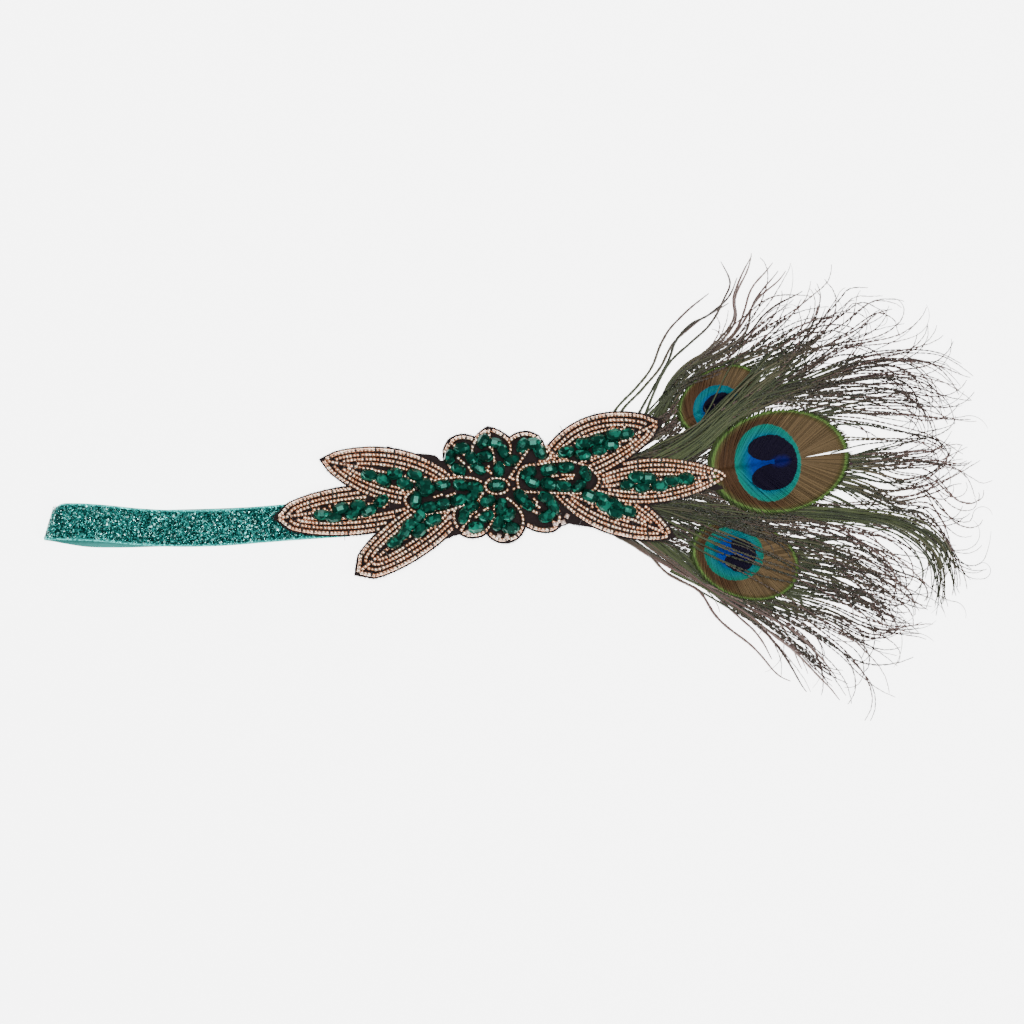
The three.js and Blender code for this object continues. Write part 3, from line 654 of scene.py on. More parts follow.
SEED_HEIGHT = FELT_TOP + 0.93
GLASS_HEIGHT = FELT_TOP + 1.6
SEED_PITCH = 1.56
SEED_CLOSE = 0.66 * SEED  # no two seed beads lie nearer than this
SEED_INSET = 0.28 * SEED
PETAL_INSET = 0.3 * SEED
LEAF_ROWS = 4
TIE_GAP = 0.3
BEADS_TO_A_TIE = (3, 8)
GLASS_ROOM = 2.75  # a seed bead nearer than this to a green bead's middle is pushed aside, in mm,
BEAD_GIVE = 1.25   # by no more than this
GLASS_BEADS = {  # x and y in steps of 0.42 mm, and turn, of each green bead
    "leaf_left_top": [(-128, 11, -10), (-113.5, 5.5, -25), (-102, 12.5, 0), (-92, 2, -30), (-82, 11, -10),
                      (-73, 2, 10)],
    "leaf_left_mid": [(-175, -29, 0), (-163, -31, 5), (-156, -22.5, 25), (-144, -28, 20), (-138.5, -19.5, 10),
                      (-128, -24.5, 25), (-116, -15, 25)],
    "leaf_left_bottom": [(-102, -56, 20), (-92, -46, 50), (-87, -38, 30), (-77, -44.5, 40), (-78, -31, 50),
                         (-63.5, -34, 20)],
    "petal_left": [(-81, -14, 75), (-70, -4, 30), (-54.5, 1, 15), (-36, 1, -5), (-22, -1.5, -20),
                   (-25, -11, 30),
                   (-38.5, -14, 15), (-54, -18, 15), (-68, -21.5, 10)],
    "petal_up_left": [(-47, 29, 85), (-35.5, 37.5, 10), (-25.5, 28, -55), (-18.5, 18, -50),
                      (-38.5, 16.5, -25)],
    "petal_up": [(-14, 45, 60), (-2, 43, -20), (6, 35, -60), (-12, 29.5, 10), (2, 16.5, 85)],
    "petal_up_right": [(25.5, 40.5, 60), (36, 42.5, 0), (43, 34.5, -60), (14.5, 25.5, 20)],
    "petal_right": [(31, 13, 20), (35.5, 3.5, -20), (52, 16, 10), (52, 2, -15), (69, 19, 0), (66, 0, -15),
                    (88.5, 12.5, -70), (82, 0, 40)],
    "centre_bead": [(0, 0.5, 0)],
    "petal_down_left": [(-9, -15, 15), (-26, -21, 30), (-33.5, -30.5, 80), (-21, -41, 0), (-10.5, -30.5, 40)],
    "petal_down": [(4, -20.5, 80), (1.5, -37, 50), (13.5, -42, 10), (12, -29, 60)],
    "petal_down_right": [(24, -11, -60), (31, -18.5, -40), (49, -11.5, -30), (56, -21, -70), (50, -30, 20)],
    "leaf_right_top": [(69, 34, 20), (86, 31, -10), (86.5, 42.5, 10), (100.5, 46, 20), (102.5, 36, 0),
                       (114, 41, 10), (117, 51, 10), (129, 52, 5)],
    "leaf_right_mid": [(130, 1, 0), (139.5, 9, 10), (151, 7.5, -5), (145, -1.5, 0), (162.5, 0, 5),
                       (174, 5, 0),
                       (189, 7, 0)],
    "leaf_right_bottom": [(93, -10, -35), (105, -12, -25), (106.4, -19.5, -30), (118, -18, -30),
                          (118, -27, -20),
                          (131, -25, -20)],
}
VEINS = {  # rows of seed beads inside a petal, each from point to point in steps of 0.42 mm
    "petal_left": [((-64, -11.5), (-52, -7.5)), ((-51, -10.5), (-40, -6.5))],
    "petal_right": [((54, 9.5), (63, 11)), ((62, 6), (77, 8)), ((64, 11.5), (78, 11))],
    "petal_up_left": [((-40, 29), (-31, 21)), ((-29, 20), (-24, 12))],
    "petal_up": [((-3, 28), (1, 21)), ((-9, 21), (-5, 12))],
    "petal_up_right": [((22, 34), (31, 29)), ((18, 19), (28, 31)), ((31, 22), (26, 15)), ((46, 43), (55, 32)),
                       ((39, 21), (61, 32)), ((61, 32), (73, 25))],
    "petal_down_left": [((-22, -32), (-14, -26)), ((-14, -25), (-8, -21))],
    "petal_down": [((6, -30), (7, -24)), ((10, -36), (9, -30))],
    "petal_down_right": [((38, -18), (46, -24)), ((36, -12), (42, -18))],
}
PALE_BEADS = [  # x and y in steps of 0.42 mm, and turn, of a few bigger clear beads
    (-47, -31, 30), (-29, -46, 10), (2, -50, -20), (10, -51, -5), (58, -38, 15), (66, -36, 20), (70, -30, 60),
]
LONG_STITCHES = {  # x, y, turn and width, in steps of 0.42 mm, of threads laid over a whole border
    "leaf_right_top": [(99, 66, 102, 13), (120, 66, 96, 13), (66, 55, 122, 11), (148, 62, 75, 8)],
    "leaf_right_mid": [(186, 23, 82, 8), (206, 18, 80, 8), (214, 14, 78, 6), (140, 18, 92, 6)],
    "leaf_left_mid": [(-205, -30, 105, 6), (-152, -51, 88, 6), (-164, -10, 95, 8)],
    "leaf_left_top": [(-118, 33, 92, 6), (-152, 24, 60, 8)],
    "leaf_left_bottom": [(-118, -68, 125, 8)],
    "leaf_right_bottom": [(132, -45, 70, 8), (84, -35, 60, 7)],
}


def inside(points, outline):
    """Which points lie inside a closed outline."""
    x, y = points[:, 0][:, None], points[:, 1][:, None]
    ax, ay = outline[:, 0], outline[:, 1]
    bx, by = np.roll(ax, -1), np.roll(ay, -1)
    crossing = ((ay > y) != (by > y)) & (x < (bx - ax) * (y - ay) / np.where(by == ay, 1e-9, by - ay) + ax)
    return crossing.sum(axis=1) % 2 == 1


def bead_row(line, draws):
    """Beads along a line: x, y, turn, size along the row, and where a stitch ties the row down."""
    line = np.asarray(line, float)
    run = run_along(line)
    beads = []
    ties = []
    at = SEED_PITCH * 0.45
    until_tie = draws.integers(*BEADS_TO_A_TIE)
    while at < run[-1] - SEED_PITCH * 0.3:
        size = draws.uniform(0.84, 1.12)
        x, y = (np.interp(at, run, line[:, k]) for k in (0, 1))
        ahead = [np.interp(at + 0.4, run, line[:, k]) - np.interp(at - 0.4, run, line[:, k]) for k in (0, 1)]
        turn = math.degrees(math.atan2(ahead[1], ahead[0]))
        beads.append((x, y, turn + draws.normal(0, 4), size))
        at += SEED_PITCH * (size + 1) / 2
        until_tie -= 1
        if until_tie == 0:
            tie = [np.interp(at - SEED_PITCH / 2, run, line[:, k]) for k in (0, 1)]
            ties.append((*tie, turn))
            at += TIE_GAP
            until_tie = draws.integers(*BEADS_TO_A_TIE)
    return beads, ties


def closed(outline):
    """An outline that comes back to its first point."""
    return np.concatenate([outline, outline[:1]])


PETAL_RINGS = {  # where the row runs round the two long petals, in steps of 0.42 mm
    "petal_left": [(-15, 4), (-24, 7.8), (-42, 8.5), (-60, 6), (-74, 1.5), (-85, -5), (-92, -13),
                   (-87.5, -22),
                   (-78.5, -27), (-65, -28), (-49, -24.5), (-35.5, -20), (-24, -15.5), (-15, -9.5)],
    "petal_right": [(20, 8), (25.5, 18.5), (43.5, 22), (59, 24.5), (73, 24.5), (84, 22), (95, 16), (102, 7),
                    (98.5, -2), (91, -6.5), (75, -7.2), (57, -6.8), (37, -6.2), (23, -4)],
}
PETAL_HALF = 11.0  # half the width of a long petal


def flat_line(knots, step):
    """A smooth line in the table's plane through knots in mm."""
    return smooth_line(np.column_stack([knots, np.zeros(len(knots))]), step)[0][:, :2]


def petal_ring(name, inset):
    """The row round a long petal, drawn in towards the petal's middle by an inset."""
    knots = np.array(PETAL_RINGS[name]) * PIXEL
    knots = closed(knots + (knots.mean(axis=0) - knots) * inset / PETAL_HALF)
    return flat_line(knots, 0.5)


def two_rows(edge):
    """An outline cut at its root and tip into two rows that both start at the root."""
    half = len(edge) // 2
    return [edge[: half + 1], closed(edge[half:])[::-1]]


beadwork = [("centre_bead", oval_outline, [closed(oval_outline(0.5 * SEED))])]
for petal in PETALS:
    name = petal[0]
    veins = [np.array(vein) * PIXEL for vein in VEINS[name]]
    if name in PETAL_RINGS:
        rows = [petal_ring(name, 0)] + veins
        beadwork.append((name, lambda inset, name=name: petal_ring(name, inset), rows))
    else:
        rows = two_rows(petal_outline(petal, PETAL_INSET))
        beadwork.append((name, lambda inset, petal=petal: petal_outline(petal, inset), rows + veins))
for leaf in LEAVES:
    rows = []
    for k in range(LEAF_ROWS):
        rows += two_rows(leaf_outline(leaf, SEED_INSET + k * ROW))
    beadwork.append((leaf[0], lambda inset, leaf=leaf: leaf_outline(leaf, inset), rows))

draws = np.random.default_rng(5)
taken = []
for name, outline_at, rows in beadwork:
    seeds = []
    ties = []
    for row in rows:
        beads, knots = bead_row(row, draws)
        seeds += beads
        ties += knots
    seeds = np.array(seeds)
    ties = np.array(ties).reshape(-1, 3)
    free = np.ones(len(seeds), bool)
    free_ties = np.ones(len(ties), bool)
    for other in taken:
        free &= ~inside(seeds, other)
        free_ties &= ~inside(ties, other)
    taken.append(outline_at(-0.5 * SEED))
    seeds = seeds[free]
    ties = ties[free_ties]
    glass = [(x * PIXEL, y * PIXEL, turn) for x, y, turn in GLASS_BEADS[name]]
    kept = []
    for x, y, turn, size in seeds:
        gaps = [math.hypot(x - g[0], y - g[1]) for g in glass]
        if min(gaps) < GLASS_ROOM - BEAD_GIVE:
            continue
        for g in glass:
            gap = math.hypot(x - g[0], y - g[1])
            if gap < GLASS_ROOM:
                x = g[0] + (x - g[0]) * GLASS_ROOM / gap
                y = g[1] + (y - g[1]) * GLASS_ROOM / gap
        if all(math.hypot(b[0] - x, b[1] - y) > SEED_CLOSE for b in kept):
            kept.append((x, y, turn, size))
    seed_places = [placed((x, y, SEED_HEIGHT + draws.normal(0, 0.06)),
                          (draws.uniform(0, 45), draws.normal(0, 4), turn), (size, 1, 1))
                   for x, y, turn, size in kept]
    glass_size = 1.05 if name == "centre_bead" else 1.0
    glass_places = [placed((x, y, GLASS_HEIGHT + draws.normal(0, 0.12)),
                           (draws.uniform(0, 45), draws.normal(0, 6), turn + draws.normal(0, 6)),
                           [glass_size * draws.uniform(0.94, 1.06)] * 3) for x, y, turn in glass]
    tie_places = [placed((x, y, SEED_HEIGHT), (0, 0, turn)) for x, y, turn in ties]
    for x, y, turn, width in LONG_STITCHES.get(name, []):
        wide = width * PIXEL / (2 * STITCH_RADIUS)
        tie_places.append(placed((x * PIXEL, y * PIXEL, SEED_HEIGHT), (0, 0, turn - 90), (1, wide, 1)))
    groups = [(seed_shape, seed_places, SEEDS), (glass_shape, glass_places, GLASS),
              (stitch_shape, tie_places, STITCHES)]
    if name == "petal_down":
        pale = [placed((x * PIXEL, y * PIXEL, SEED_HEIGHT + 0.15), (0, 0, turn), (1.35, 1.2, 1.2))
                for x, y, turn in PALE_BEADS]
        groups.append((seed_shape, pale, PALE))
    points = []
    faces = []
    kinds = []
    rounds = []
    shades = []
    painted_top_lights = []
    count = 0
    for shape, places, kind in groups:
        if not places:
            continue
        new_points, new_faces = copies(shape, places)
        points.append(new_points)
        faces += [tuple(i + count for i in f) for f in new_faces]
        kinds += [kind] * len(new_faces)
        rounds += barrels[kind] * len(places)
        shades.append(np.repeat(draws.uniform(0, 1, len(places)), len(shape[0])))
        # Each point's height on its bead, kept for the seed beads' painted highlight and painted shade.
        painted_top_lights.append(np.clip((new_points[:, 2] - SEED_HEIGHT) / 1.7 + 0.5, 0, 1))
        count += len(new_points)
    piece = solid(
        "beads_" + name, np.concatenate(points), faces, [rose_gold, emerald, black_thread, clear_pink], kinds,
        smooth=rounds, values={"bead": np.concatenate(shades), "painted_top_light": np.concatenate(painted_top_lights)})
    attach(piece, "root")
    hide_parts(name)

# The feathers. Three peacock eye feathers are glued under the felt by their quills. Each has
# a flat eye of closely laid barbs and long loose twisted barbs that sweep out round it.
# The middle feather lies on top of the other two.
BARB_TURN = (1.45, 0.5, 0.5)  # a barb lies flat, turns on edge and over, in mm
BARB_CROWD = 0.85  # the share of a run's barbs that are drawn
HAIRS_PER_STEP = 1.3
BASE_LOCK = 0.1  # how much the short locks between felt and eye draw together
TIGHT_LOCK = 0.7  # locks that draw together more than this hold as one
LONE_RUN = 6  # runs of fewer barbs than this hold lone, thick, hairy barbs
WISP_SHARE = 0.1
PLUME_END = 214  # barbs end at this x, and at this y on either side, in mm
PLUME_SIDE = 99
LOWEST = 0.28
BATCH_POINTS = 85000
LINE_POINTS = 80
QUILL_POINTS = 60
QUILL_SIDES = 10
EYE_PITCH = 0.42
EYE_BARB_POINTS = 14
WEB_POINTS = 60  # the thin web under an eye's barbs
WEB_ROWS = 8
WEB_THICK = 0.12
WEB_EDGE = 0.985
HEART_LOBES = [  # middle and half sizes of the ovals that make an eye's dark heart
    (1.0, 6.3, 8.6, 5.4), (1.3, -6.2, 9.0, 5.6), (7.6, 0.0, 4.8, 8.6),
]
# Each feather: where its quill starts, its aim, how far its eye is, the eye's half sizes and how far
# on that oval lies, the heights of barbs and eye, and the eye's slits, rings and colours; mm, degrees.
FEATHERS = {
    "feather_upper": {
        "quill": (39.0, 3.0), "aim": 31.5, "length": 61.4, "half": (18.6, 12.8), "shift": 2.9,
        "bed": 0.5, "eye": 2.1, "scale": 0.78, "slit": (1, 1), "seed": 101,
        "ring": (0.0, -2.6, 10.4, 9.4), "heart": (0.0, -3.0, 0.74),
        "outer": (0.0, 0.10, 0.135), "inner": (0.0, 0.085, 0.18),
        "sweeps": [  # runs of barbs: x, y in steps of 0.42 mm from root to tip, and how many to the next run
            ([(103, 46), (114, 77), (137, 121), (145, 147), (159, 170), (179, 178), (206, 191),
              (214, 202)], 1),
            ([(108, 48), (118, 75), (141, 97), (159, 117), (169, 142), (179, 160), (200, 181),
              (214, 191)], 1),
            ([(128, 46), (141, 72), (158, 101), (169, 123), (176, 147), (190, 162), (209, 171), (229, 194),
              (236, 213)], 1),
            ([(143, 56), (153, 88), (171, 124), (192, 143), (209, 157), (228, 185), (235, 199),
              (227, 223)], 2),
            ([(148, 46), (160, 72), (174, 102), (192, 121), (218, 137), (241, 165), (241, 189),
              (265, 230)], 5),
            ([(150, 46), (165, 74), (183, 108), (208, 128), (235, 150), (249, 173), (264, 196),
              (294, 211)], 6),
            ([(158, 46), (171, 76), (193, 111), (223, 131), (253, 161), (278, 186), (298, 201),
              (306, 213)], 6),
            ([(163, 46), (175, 76), (203, 116), (238, 136), (273, 164), (303, 191), (325, 203)], 6),
            ([(171, 56), (188, 101), (218, 121), (258, 141), (293, 168), (318, 186), (326, 204)], 6),
            ([(193, 86), (223, 111), (263, 134), (303, 161), (338, 176), (361, 173)], 6),
            ([(203, 91), (238, 114), (278, 131), (323, 151), (368, 166), (393, 160)], 6),
            ([(213, 91), (248, 111), (293, 124), (343, 138), (393, 146), (439, 141)], 0)],
        "locks": [  # a line, half the width at the root, how many barbs, how much they draw together
            ([(116, 28), (150, 44), (178, 61), (198, 84), (212, 104)], 16, 50, BASE_LOCK),
            ([(170, 62), (200, 108), (240, 134), (262, 154), (284, 184), (303, 212)], 9, 6, 0.2),
            ([(200, 96), (250, 118), (292, 138), (320, 166), (328, 196), (318, 212)], 9, 7, 0.2),
            ([(210, 96), (262, 120), (305, 140), (342, 172), (362, 182), (372, 166), (364, 150)], 8, 7, 0.2),
            ([(230, 100), (290, 122), (350, 152), (385, 172), (402, 160), (398, 140)], 8, 6, 0.2)],
    },
    "feather_lower": {
        "quill": (39.0, -6.0), "aim": -20.6, "length": 66.2, "half": (23.2, 16.4), "shift": 4.0,
        "bed": 0.5, "eye": 2.1, "scale": 0.72, "slit": (1, 1), "seed": 202,
        "ring": (-1.5, 0.5, 12.6, 11.2), "heart": (1.8, 0.2, 0.6),
        "outer": (0.0, 0.12, 0.085), "inner": (0.0, 0.085, 0.105),
        "sweeps": [
            ([(93, -39), (143, -61), (171, -90), (206, -106), (223, -132), (259, -166), (283, -200),
              (297, -208)], 1),
            ([(103, -42), (153, -69), (193, -97), (223, -131), (244, -145), (255, -156), (261, -167)], 2),
            ([(113, -44), (163, -74), (206, -97), (233, -113), (266, -134), (280, -149), (292, -181),
              (296, -190)], 4),
            ([(140, -46), (178, -74), (208, -97), (233, -113), (283, -143), (311, -163), (339, -188),
              (354, -207)], 7),
            ([(150, -50), (188, -79), (223, -104), (273, -129), (323, -159), (353, -184), (387, -203)], 10),
            ([(160, -52), (198, -84), (238, -111), (293, -126), (348, -154), (383, -179), (425, -202)], 9),
            ([(168, -54), (206, -89), (248, -114), (303, -119), (353, -139), (393, -164), (405, -180)], 8),
            ([(283, -104), (323, -114), (363, -126), (403, -146), (433, -153)], 11),
            ([(298, -84), (343, -94), (383, -114), (418, -136), (433, -153)], 13),
            ([(301, -69), (343, -69), (383, -84), (408, -99), (428, -114)], 11),
            ([(298, -54), (338, -49), (378, -59), (408, -79), (443, -89)], 0)],
        "locks": [
            ([(98, -26), (140, -34), (175, -42), (210, -54), (245, -68)], 15, 56, BASE_LOCK),
            ([(258, -62), (300, -66), (340, -74), (375, -88), (402, -104), (410, -116)], 15, 24, 0.3),
            ([(262, -84), (300, -92), (340, -104), (375, -122), (405, -146)], 12, 20, 0.3),
            ([(240, -96), (280, -108), (330, -122), (380, -148), (432, -154)], 9, 10, 0.3),
            ([(175, -82), (215, -102), (255, -126), (300, -156), (330, -188), (352, -207)], 8, 10, 0.4),
            ([(146, -46), (178, -70), (209, -94), (245, -116), (290, -142), (345, -182)], 8, 7, 0.3)],
    },
    "feather_middle": {
        "quill": (33.0, -1.9), "aim": 8.2, "length": 81.6, "half": (29.2, 21.6), "shift": 5.0,
        "bed": 2.5, "eye": 4.4, "scale": 1.0, "slit": (4.5, 1), "seed": 303,
        "ring": (0.0, 0.0, 13.8, 16.2), "heart": (0.0, 0.0, 1.0),
        "outer": (0.0, 0.145, 0.115), "inner": (0.0, 0.085, 0.18),
        "sweeps": [
            ([(133, 18), (153, 36), (193, 56), (238, 86), (278, 114), (303, 134), (321, 153)], 12),
            ([(143, 16), (168, 34), (208, 54), (253, 81), (293, 111), (308, 128), (321, 150)], 19),
            ([(153, 16), (183, 36), (223, 61), (263, 86), (313, 111), (363, 136), (403, 141),
              (439, 141)], 21),
            ([(168, 18), (203, 46), (233, 71), (278, 91), (333, 108), (393, 116), (468, 98)], 21),
            ([(183, 21), (213, 56), (253, 81), (303, 91), (353, 101), (413, 106), (482, 77)], 19),
            ([(198, 24), (218, 61), (258, 84), (313, 86), (363, 81), (423, 76), (478, 56)], 10),
            ([(283, 56), (313, 72), (343, 73), (381, 68), (430, 56), (472, 56)], 6),
            ([(345, 28), (368, 36), (393, 43), (433, 54), (472, 58)], 10),
            ([(322, 22), (351, 28), (402, 34), (443, 46), (475, 61)], 12),
            ([(313, 20), (353, 21), (398, 21), (434, 24), (465, 9), (493, -15), (502, -11)], 12),
            ([(311, 14), (351, 8), (383, -4), (405, -15), (436, -15), (460, -49), (475, -87)], 14),
            ([(298, 8), (343, -4), (368, -19), (408, -34), (438, -59), (448, -94), (452, -120)], 10),
            ([(270, -14), (310, -24), (343, -26), (383, -36), (428, -59), (446, -89), (451, -120)], 0),
            ([(158, -10), (203, -18), (263, -26), (323, -27), (383, -36), (428, -59), (446, -89),
              (451, -120)], 22),
            ([(153, -17), (203, -28), (263, -36), (323, -39), (373, -54), (408, -74), (428, -104)], 10),
            ([(148, -20), (193, -36), (248, -59), (303, -84), (353, -109), (398, -132), (433, -153)], 7),
            ([(143, -24), (183, -49), (238, -79), (293, -104), (353, -134), (403, -149), (433, -153)], 0)],
        "locks": [
            ([(105, 4), (150, 17), (190, 31), (222, 53), (250, 80)], 15, 62, BASE_LOCK),
            ([(105, -3), (160, -8), (205, -13), (260, -31), (330, -40)], 14, 62, BASE_LOCK),
            ([(138, 50), (158, 78), (184, 103), (214, 118), (242, 134), (262, 152)], 7, 9, 0.3),
            ([(110, -6), (150, 16), (193, 40), (217, 60), (244, 84), (268, 104), (297, 126), (319, 152)],
             11, 48, 0.84),
            ([(262, -24), (310, -26), (350, -29), (392, -35), (423, -48), (440, -65), (447, -84),
              (452, -118)],
             5, 24, 0.8),
            ([(150, -14), (205, -28), (262, -32), (320, -34), (370, -44), (404, -62),
              (420, -88)], 7, 16, 0.4),
            ([(290, 66), (330, 80), (370, 88), (420, 84), (470, 62)], 8, 8, 0.3),
            ([(320, 20), (360, 24), (400, 28), (440, 32), (470, 52)], 8, 9, 0.3),
            ([(316, 10), (355, 4), (395, -4), (430, 2), (460, 22), (476, 44)], 8, 9, 0.3),
            ([(250, 88), (300, 100), (345, 116), (395, 122), (440, 116), (474, 92)], 9, 11, 0.3)],
    },
}


def ways_along(path):
    """The way that a path goes at each of its points."""
    ways = np.gradient(path, axis=0)
    return ways / np.linalg.norm(ways, axis=1)[:, None]


def strand(path, width, thick, twist, out):
    """Adds one closed three-sided ribbon along a path to the lists in out."""
    count = len(path)
    forward = ways_along(path)
    level = np.cross((0, 0, 1.0), forward)
    level /= np.linalg.norm(level, axis=1)[:, None]
    up = np.cross(forward, level)
    side = level * np.cos(twist)[:, None] + up * np.sin(twist)[:, None]
    over = np.cross(forward, side)
    side *= width[:, None]
    rings = np.stack([path + side, path + over * thick[:, None], path - side], axis=1)
    first = out["count"]
    index = first + np.arange(3 * count).reshape(count, 3)
    a, b = index[:-1], index[1:]
    quads = np.stack([a, np.roll(a, -1, 1), np.roll(b, -1, 1), b], axis=2).reshape(-1, 4)
    out["points"].append(rings.reshape(-1, 3))
    out["faces"] += quads.tolist()
    out["faces"] += [index[0][::-1].tolist(), index[-1].tolist()]
    out["along"].append(np.repeat(np.linspace(out["start"], out["fade"], count), 3))
    out["tone"].append(np.full(3 * count, out["next_tone"]))
    out["count"] += 3 * count


def hairs(path, q, draws, out):
    """Adds the fine side hairs of a lone barb, leaning towards its tip on both sides."""
    forward = ways_along(path)
    run = np.linspace(0, len(path) - 1, int(len(path) * HAIRS_PER_STEP))
    for at in run[:-1]:
        share = at / (len(path) - 1)
        root = np.array([np.interp(at, np.arange(len(path)), path[:, k]) for k in range(3)])
        ahead = forward[int(at)]
        for side in (1, -1):
            lean = math.radians(draws.uniform(25, 50)) * side
            way = np.array([ahead[0] * math.cos(lean) - ahead[1] * math.sin(lean),
                            ahead[0] * math.sin(lean) + ahead[1] * math.cos(lean), draws.normal(0, 0.2)])
            tip = root + way * draws.uniform(0.6, 1.25) * np.interp(share, [0, 0.6, 1], [1.1, 0.8, 0.2])
            across = np.array([-way[1], way[0], 0]) * 0.09
            first = out["count"]
            out["points"].append(np.array([root + across, root + (0, 0, 0.07), root - across, tip]))
            out["faces"] += [[first, first + 2, first + 1], [first, first + 1, first + 3],
                             [first + 1, first + 2, first + 3], [first + 2, first, first + 3]]
            out["along"].append(np.full(4, out["start"] + share * (out["fade"] - out["start"])))
            out["tone"].append(np.full(4, draws.uniform(0, 1)))
            out["count"] += 4


def new_batch():
    """Empty lists for strands."""
    return {"points": [], "faces": [], "along": [], "tone": [], "count": 0, "next_tone": 0.5,
            "start": 0.0, "fade": 1.0}


def batch_piece(name, batch, made):
    """One piece from a batch of strands."""
    piece = solid(name, np.concatenate(batch["points"]), batch["faces"], [made], values={
        "along": np.concatenate(batch["along"]), "tone": np.concatenate(batch["tone"])})
    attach(piece, "root")
    return piece


def ellipse(made, x, y, cx, cy, a, b):
    """How far out a place lies in an ellipse: 0 at its middle and 1 on its rim."""
    u = sum_of(made, "DIVIDE", sum_of(made, "SUBTRACT", x, float(cx)), float(a))
    v = sum_of(made, "DIVIDE", sum_of(made, "SUBTRACT", y, float(cy)), float(b))
    squares = [sum_of(made, "MULTIPLY", u, u), sum_of(made, "MULTIPLY", v, v)]
    return sum_of(made, "SQRT", sum_of(made, "ADD", *squares))


def band_share(made, value, low, high):
    """0 below low and 1 above high, smoothly."""
    inputs = [(0, value), (1, low), (2, high)]
    return node(made, "MapRange", inputs, interpolation_type="SMOOTHSTEP").outputs[0]


loose_barb = finish("loose_barb", Roughness=0.55, Sheen_Weight=0.1, Specular_IOR_Level=0.25)
along = value_in(loose_barb, "along")
tone = value_in(loose_barb, "tone")
wander = sum_of(loose_barb, "MULTIPLY", sum_of(loose_barb, "SUBTRACT", tone, 0.5), 0.35)
wander = sum_of(loose_barb, "ADD", along, wander)
body = ramp(loose_barb, wander, [
    (0.0, (0.040, 0.056, 0.016)), (0.3, (0.034, 0.043, 0.014)), (0.5, (0.050, 0.040, 0.022)),
    (0.8, (0.070, 0.036, 0.032)), (1.0, (0.15, 0.10, 0.09))])
sheen = sum_of(loose_barb, "MULTIPLY", noise(loose_barb, spot_in(loose_barb), 900.0), 0.4)
streak = scaled(loose_barb, tone, 1.3, 0.45)
body = node(loose_barb, "HueSaturation", [("Value", streak), ("Color", body)]).outputs[0]
wire(loose_barb, "Base Color", mix(loose_barb, sheen, body, (0.02, 0.026, 0.014)))

quill_horn = finish("quill_horn", Roughness=0.45, Specular_IOR_Level=0.5)
along = value_in(quill_horn, "along")
wire(quill_horn, "Base Color", ramp(quill_horn, along, [
    (0.0, (0.22, 0.16, 0.09)), (0.3, (0.06, 0.045, 0.022)),
    (0.7, (0.04, 0.028, 0.014)), (1.0, (0.03, 0.018, 0.02)),
]))


def eye_finish(name, feather):
    """The eye's colours: lime rim, bronze field, turquoise and blue rings, violet heart."""
    made = finish(name, Roughness=0.6, Specular_IOR_Level=0.1)
    angle = math.radians(feather["aim"])
    reach = feather["length"]
    x = (feather["quill"][0] + reach * math.cos(angle)) * MM
    y = (feather["quill"][1] + reach * math.sin(angle)) * MM
    spot = node(made, "Mapping", [
        ("Vector", spot_in(made)), ("Location", (x, y, 0)), ("Rotation", (0, 0, angle)),
        ("Scale", (MM, MM, MM))], vector_type="TEXTURE").outputs[0]
    wobble = sum_of(made, "SUBTRACT", noise(made, spot, 0.9), 0.5)
    wobble = sum_of(made, "MULTIPLY", wobble, 0.9)
    parts = node(made, "SeparateXYZ", [(0, spot)])
    px = sum_of(made, "ADD", parts.outputs[0], wobble)
    py = sum_of(made, "ADD", parts.outputs[1], wobble)
    tone = value_in(made, "tone")
    scale = feather["scale"]
    a, b = feather["half"]
    rim = ellipse(made, px, py, feather["shift"], 0, a, b)
    field = ramp(made, rim, [
        (0.0, (0.08, 0.038, 0.012)), (0.6, (0.078, 0.042, 0.014)), (0.86, (0.075, 0.044, 0.015)),
        (0.935, (0.055, 0.05, 0.018)), (0.96, (0.085, 0.15, 0.035)), (0.982, (0.06, 0.11, 0.028)),
        (1.0, (0.028, 0.042, 0.014))])
    tip_side = band_share(made, px, 0.0, 12.0 * scale)
    fringe = mix(made, tip_side, (0.03, 0.045, 0.012), (0.07, 0.026, 0.05))
    field = mix(made, band_share(made, rim, 1.0, 1.05), field, fringe)
    bronze = mix(made, tip_side, (0.038, 0.017, 0.009), (0.095, 0.066, 0.034))
    inner = band_share(made, rim, 0.92, 0.86)
    field = mix(made, sum_of(made, "MULTIPLY", inner, 0.75), field, bronze)
    streak = scaled(made, tone, 0.7, 0.65)
    field = node(made, "HueSaturation", [("Value", streak), ("Color", field)]).outputs[0]
    cx, cy, ra, rb = feather["ring"]
    ring = ellipse(made, px, py, cx, cy, ra, rb)
    jewel = ramp(made, ring, [
        (0.0, (0.0, 0.02, 0.22)), (0.5, (0.0, 0.035, 0.24)), (0.66, feather["inner"]),
        (0.8, (0.0, 0.115, 0.13)), (0.95, feather["outer"])])
    streak = scaled(made, tone, 0.24, 0.88)
    jewel = node(made, "HueSaturation", [("Value", streak), ("Color", jewel)]).outputs[0]
    colour = mix(made, band_share(made, ring, 1.03, 0.985), field, jewel)
    hx, hy, size = feather["heart"]
    hx += cx
    hy += cy
    lobes = [ellipse(made, px, py, hx + x * size, hy + y * size, long * size, wide * size)
             for x, y, long, wide in HEART_LOBES]
    heart = sum_of(made, "MINIMUM", sum_of(made, "MINIMUM", lobes[0], lobes[1]), lobes[2])
    between = ellipse(made, px, py, hx + 5.5 * size, hy, 5.5 * size, 3.4 * size)
    violet = mix(made, band_share(made, between, 1.0, 0.3), (0.0025, 0.0008, 0.010), (0.0012, 0.0025, 0.07))
    heart = sum_of(made, "MULTIPLY", band_share(made, heart, 1.03, 0.97), band_share(made, ring, 1.01, 0.97))
    colour = mix(made, heart, colour, violet)
    wire(made, "Base Color", colour)
    return made


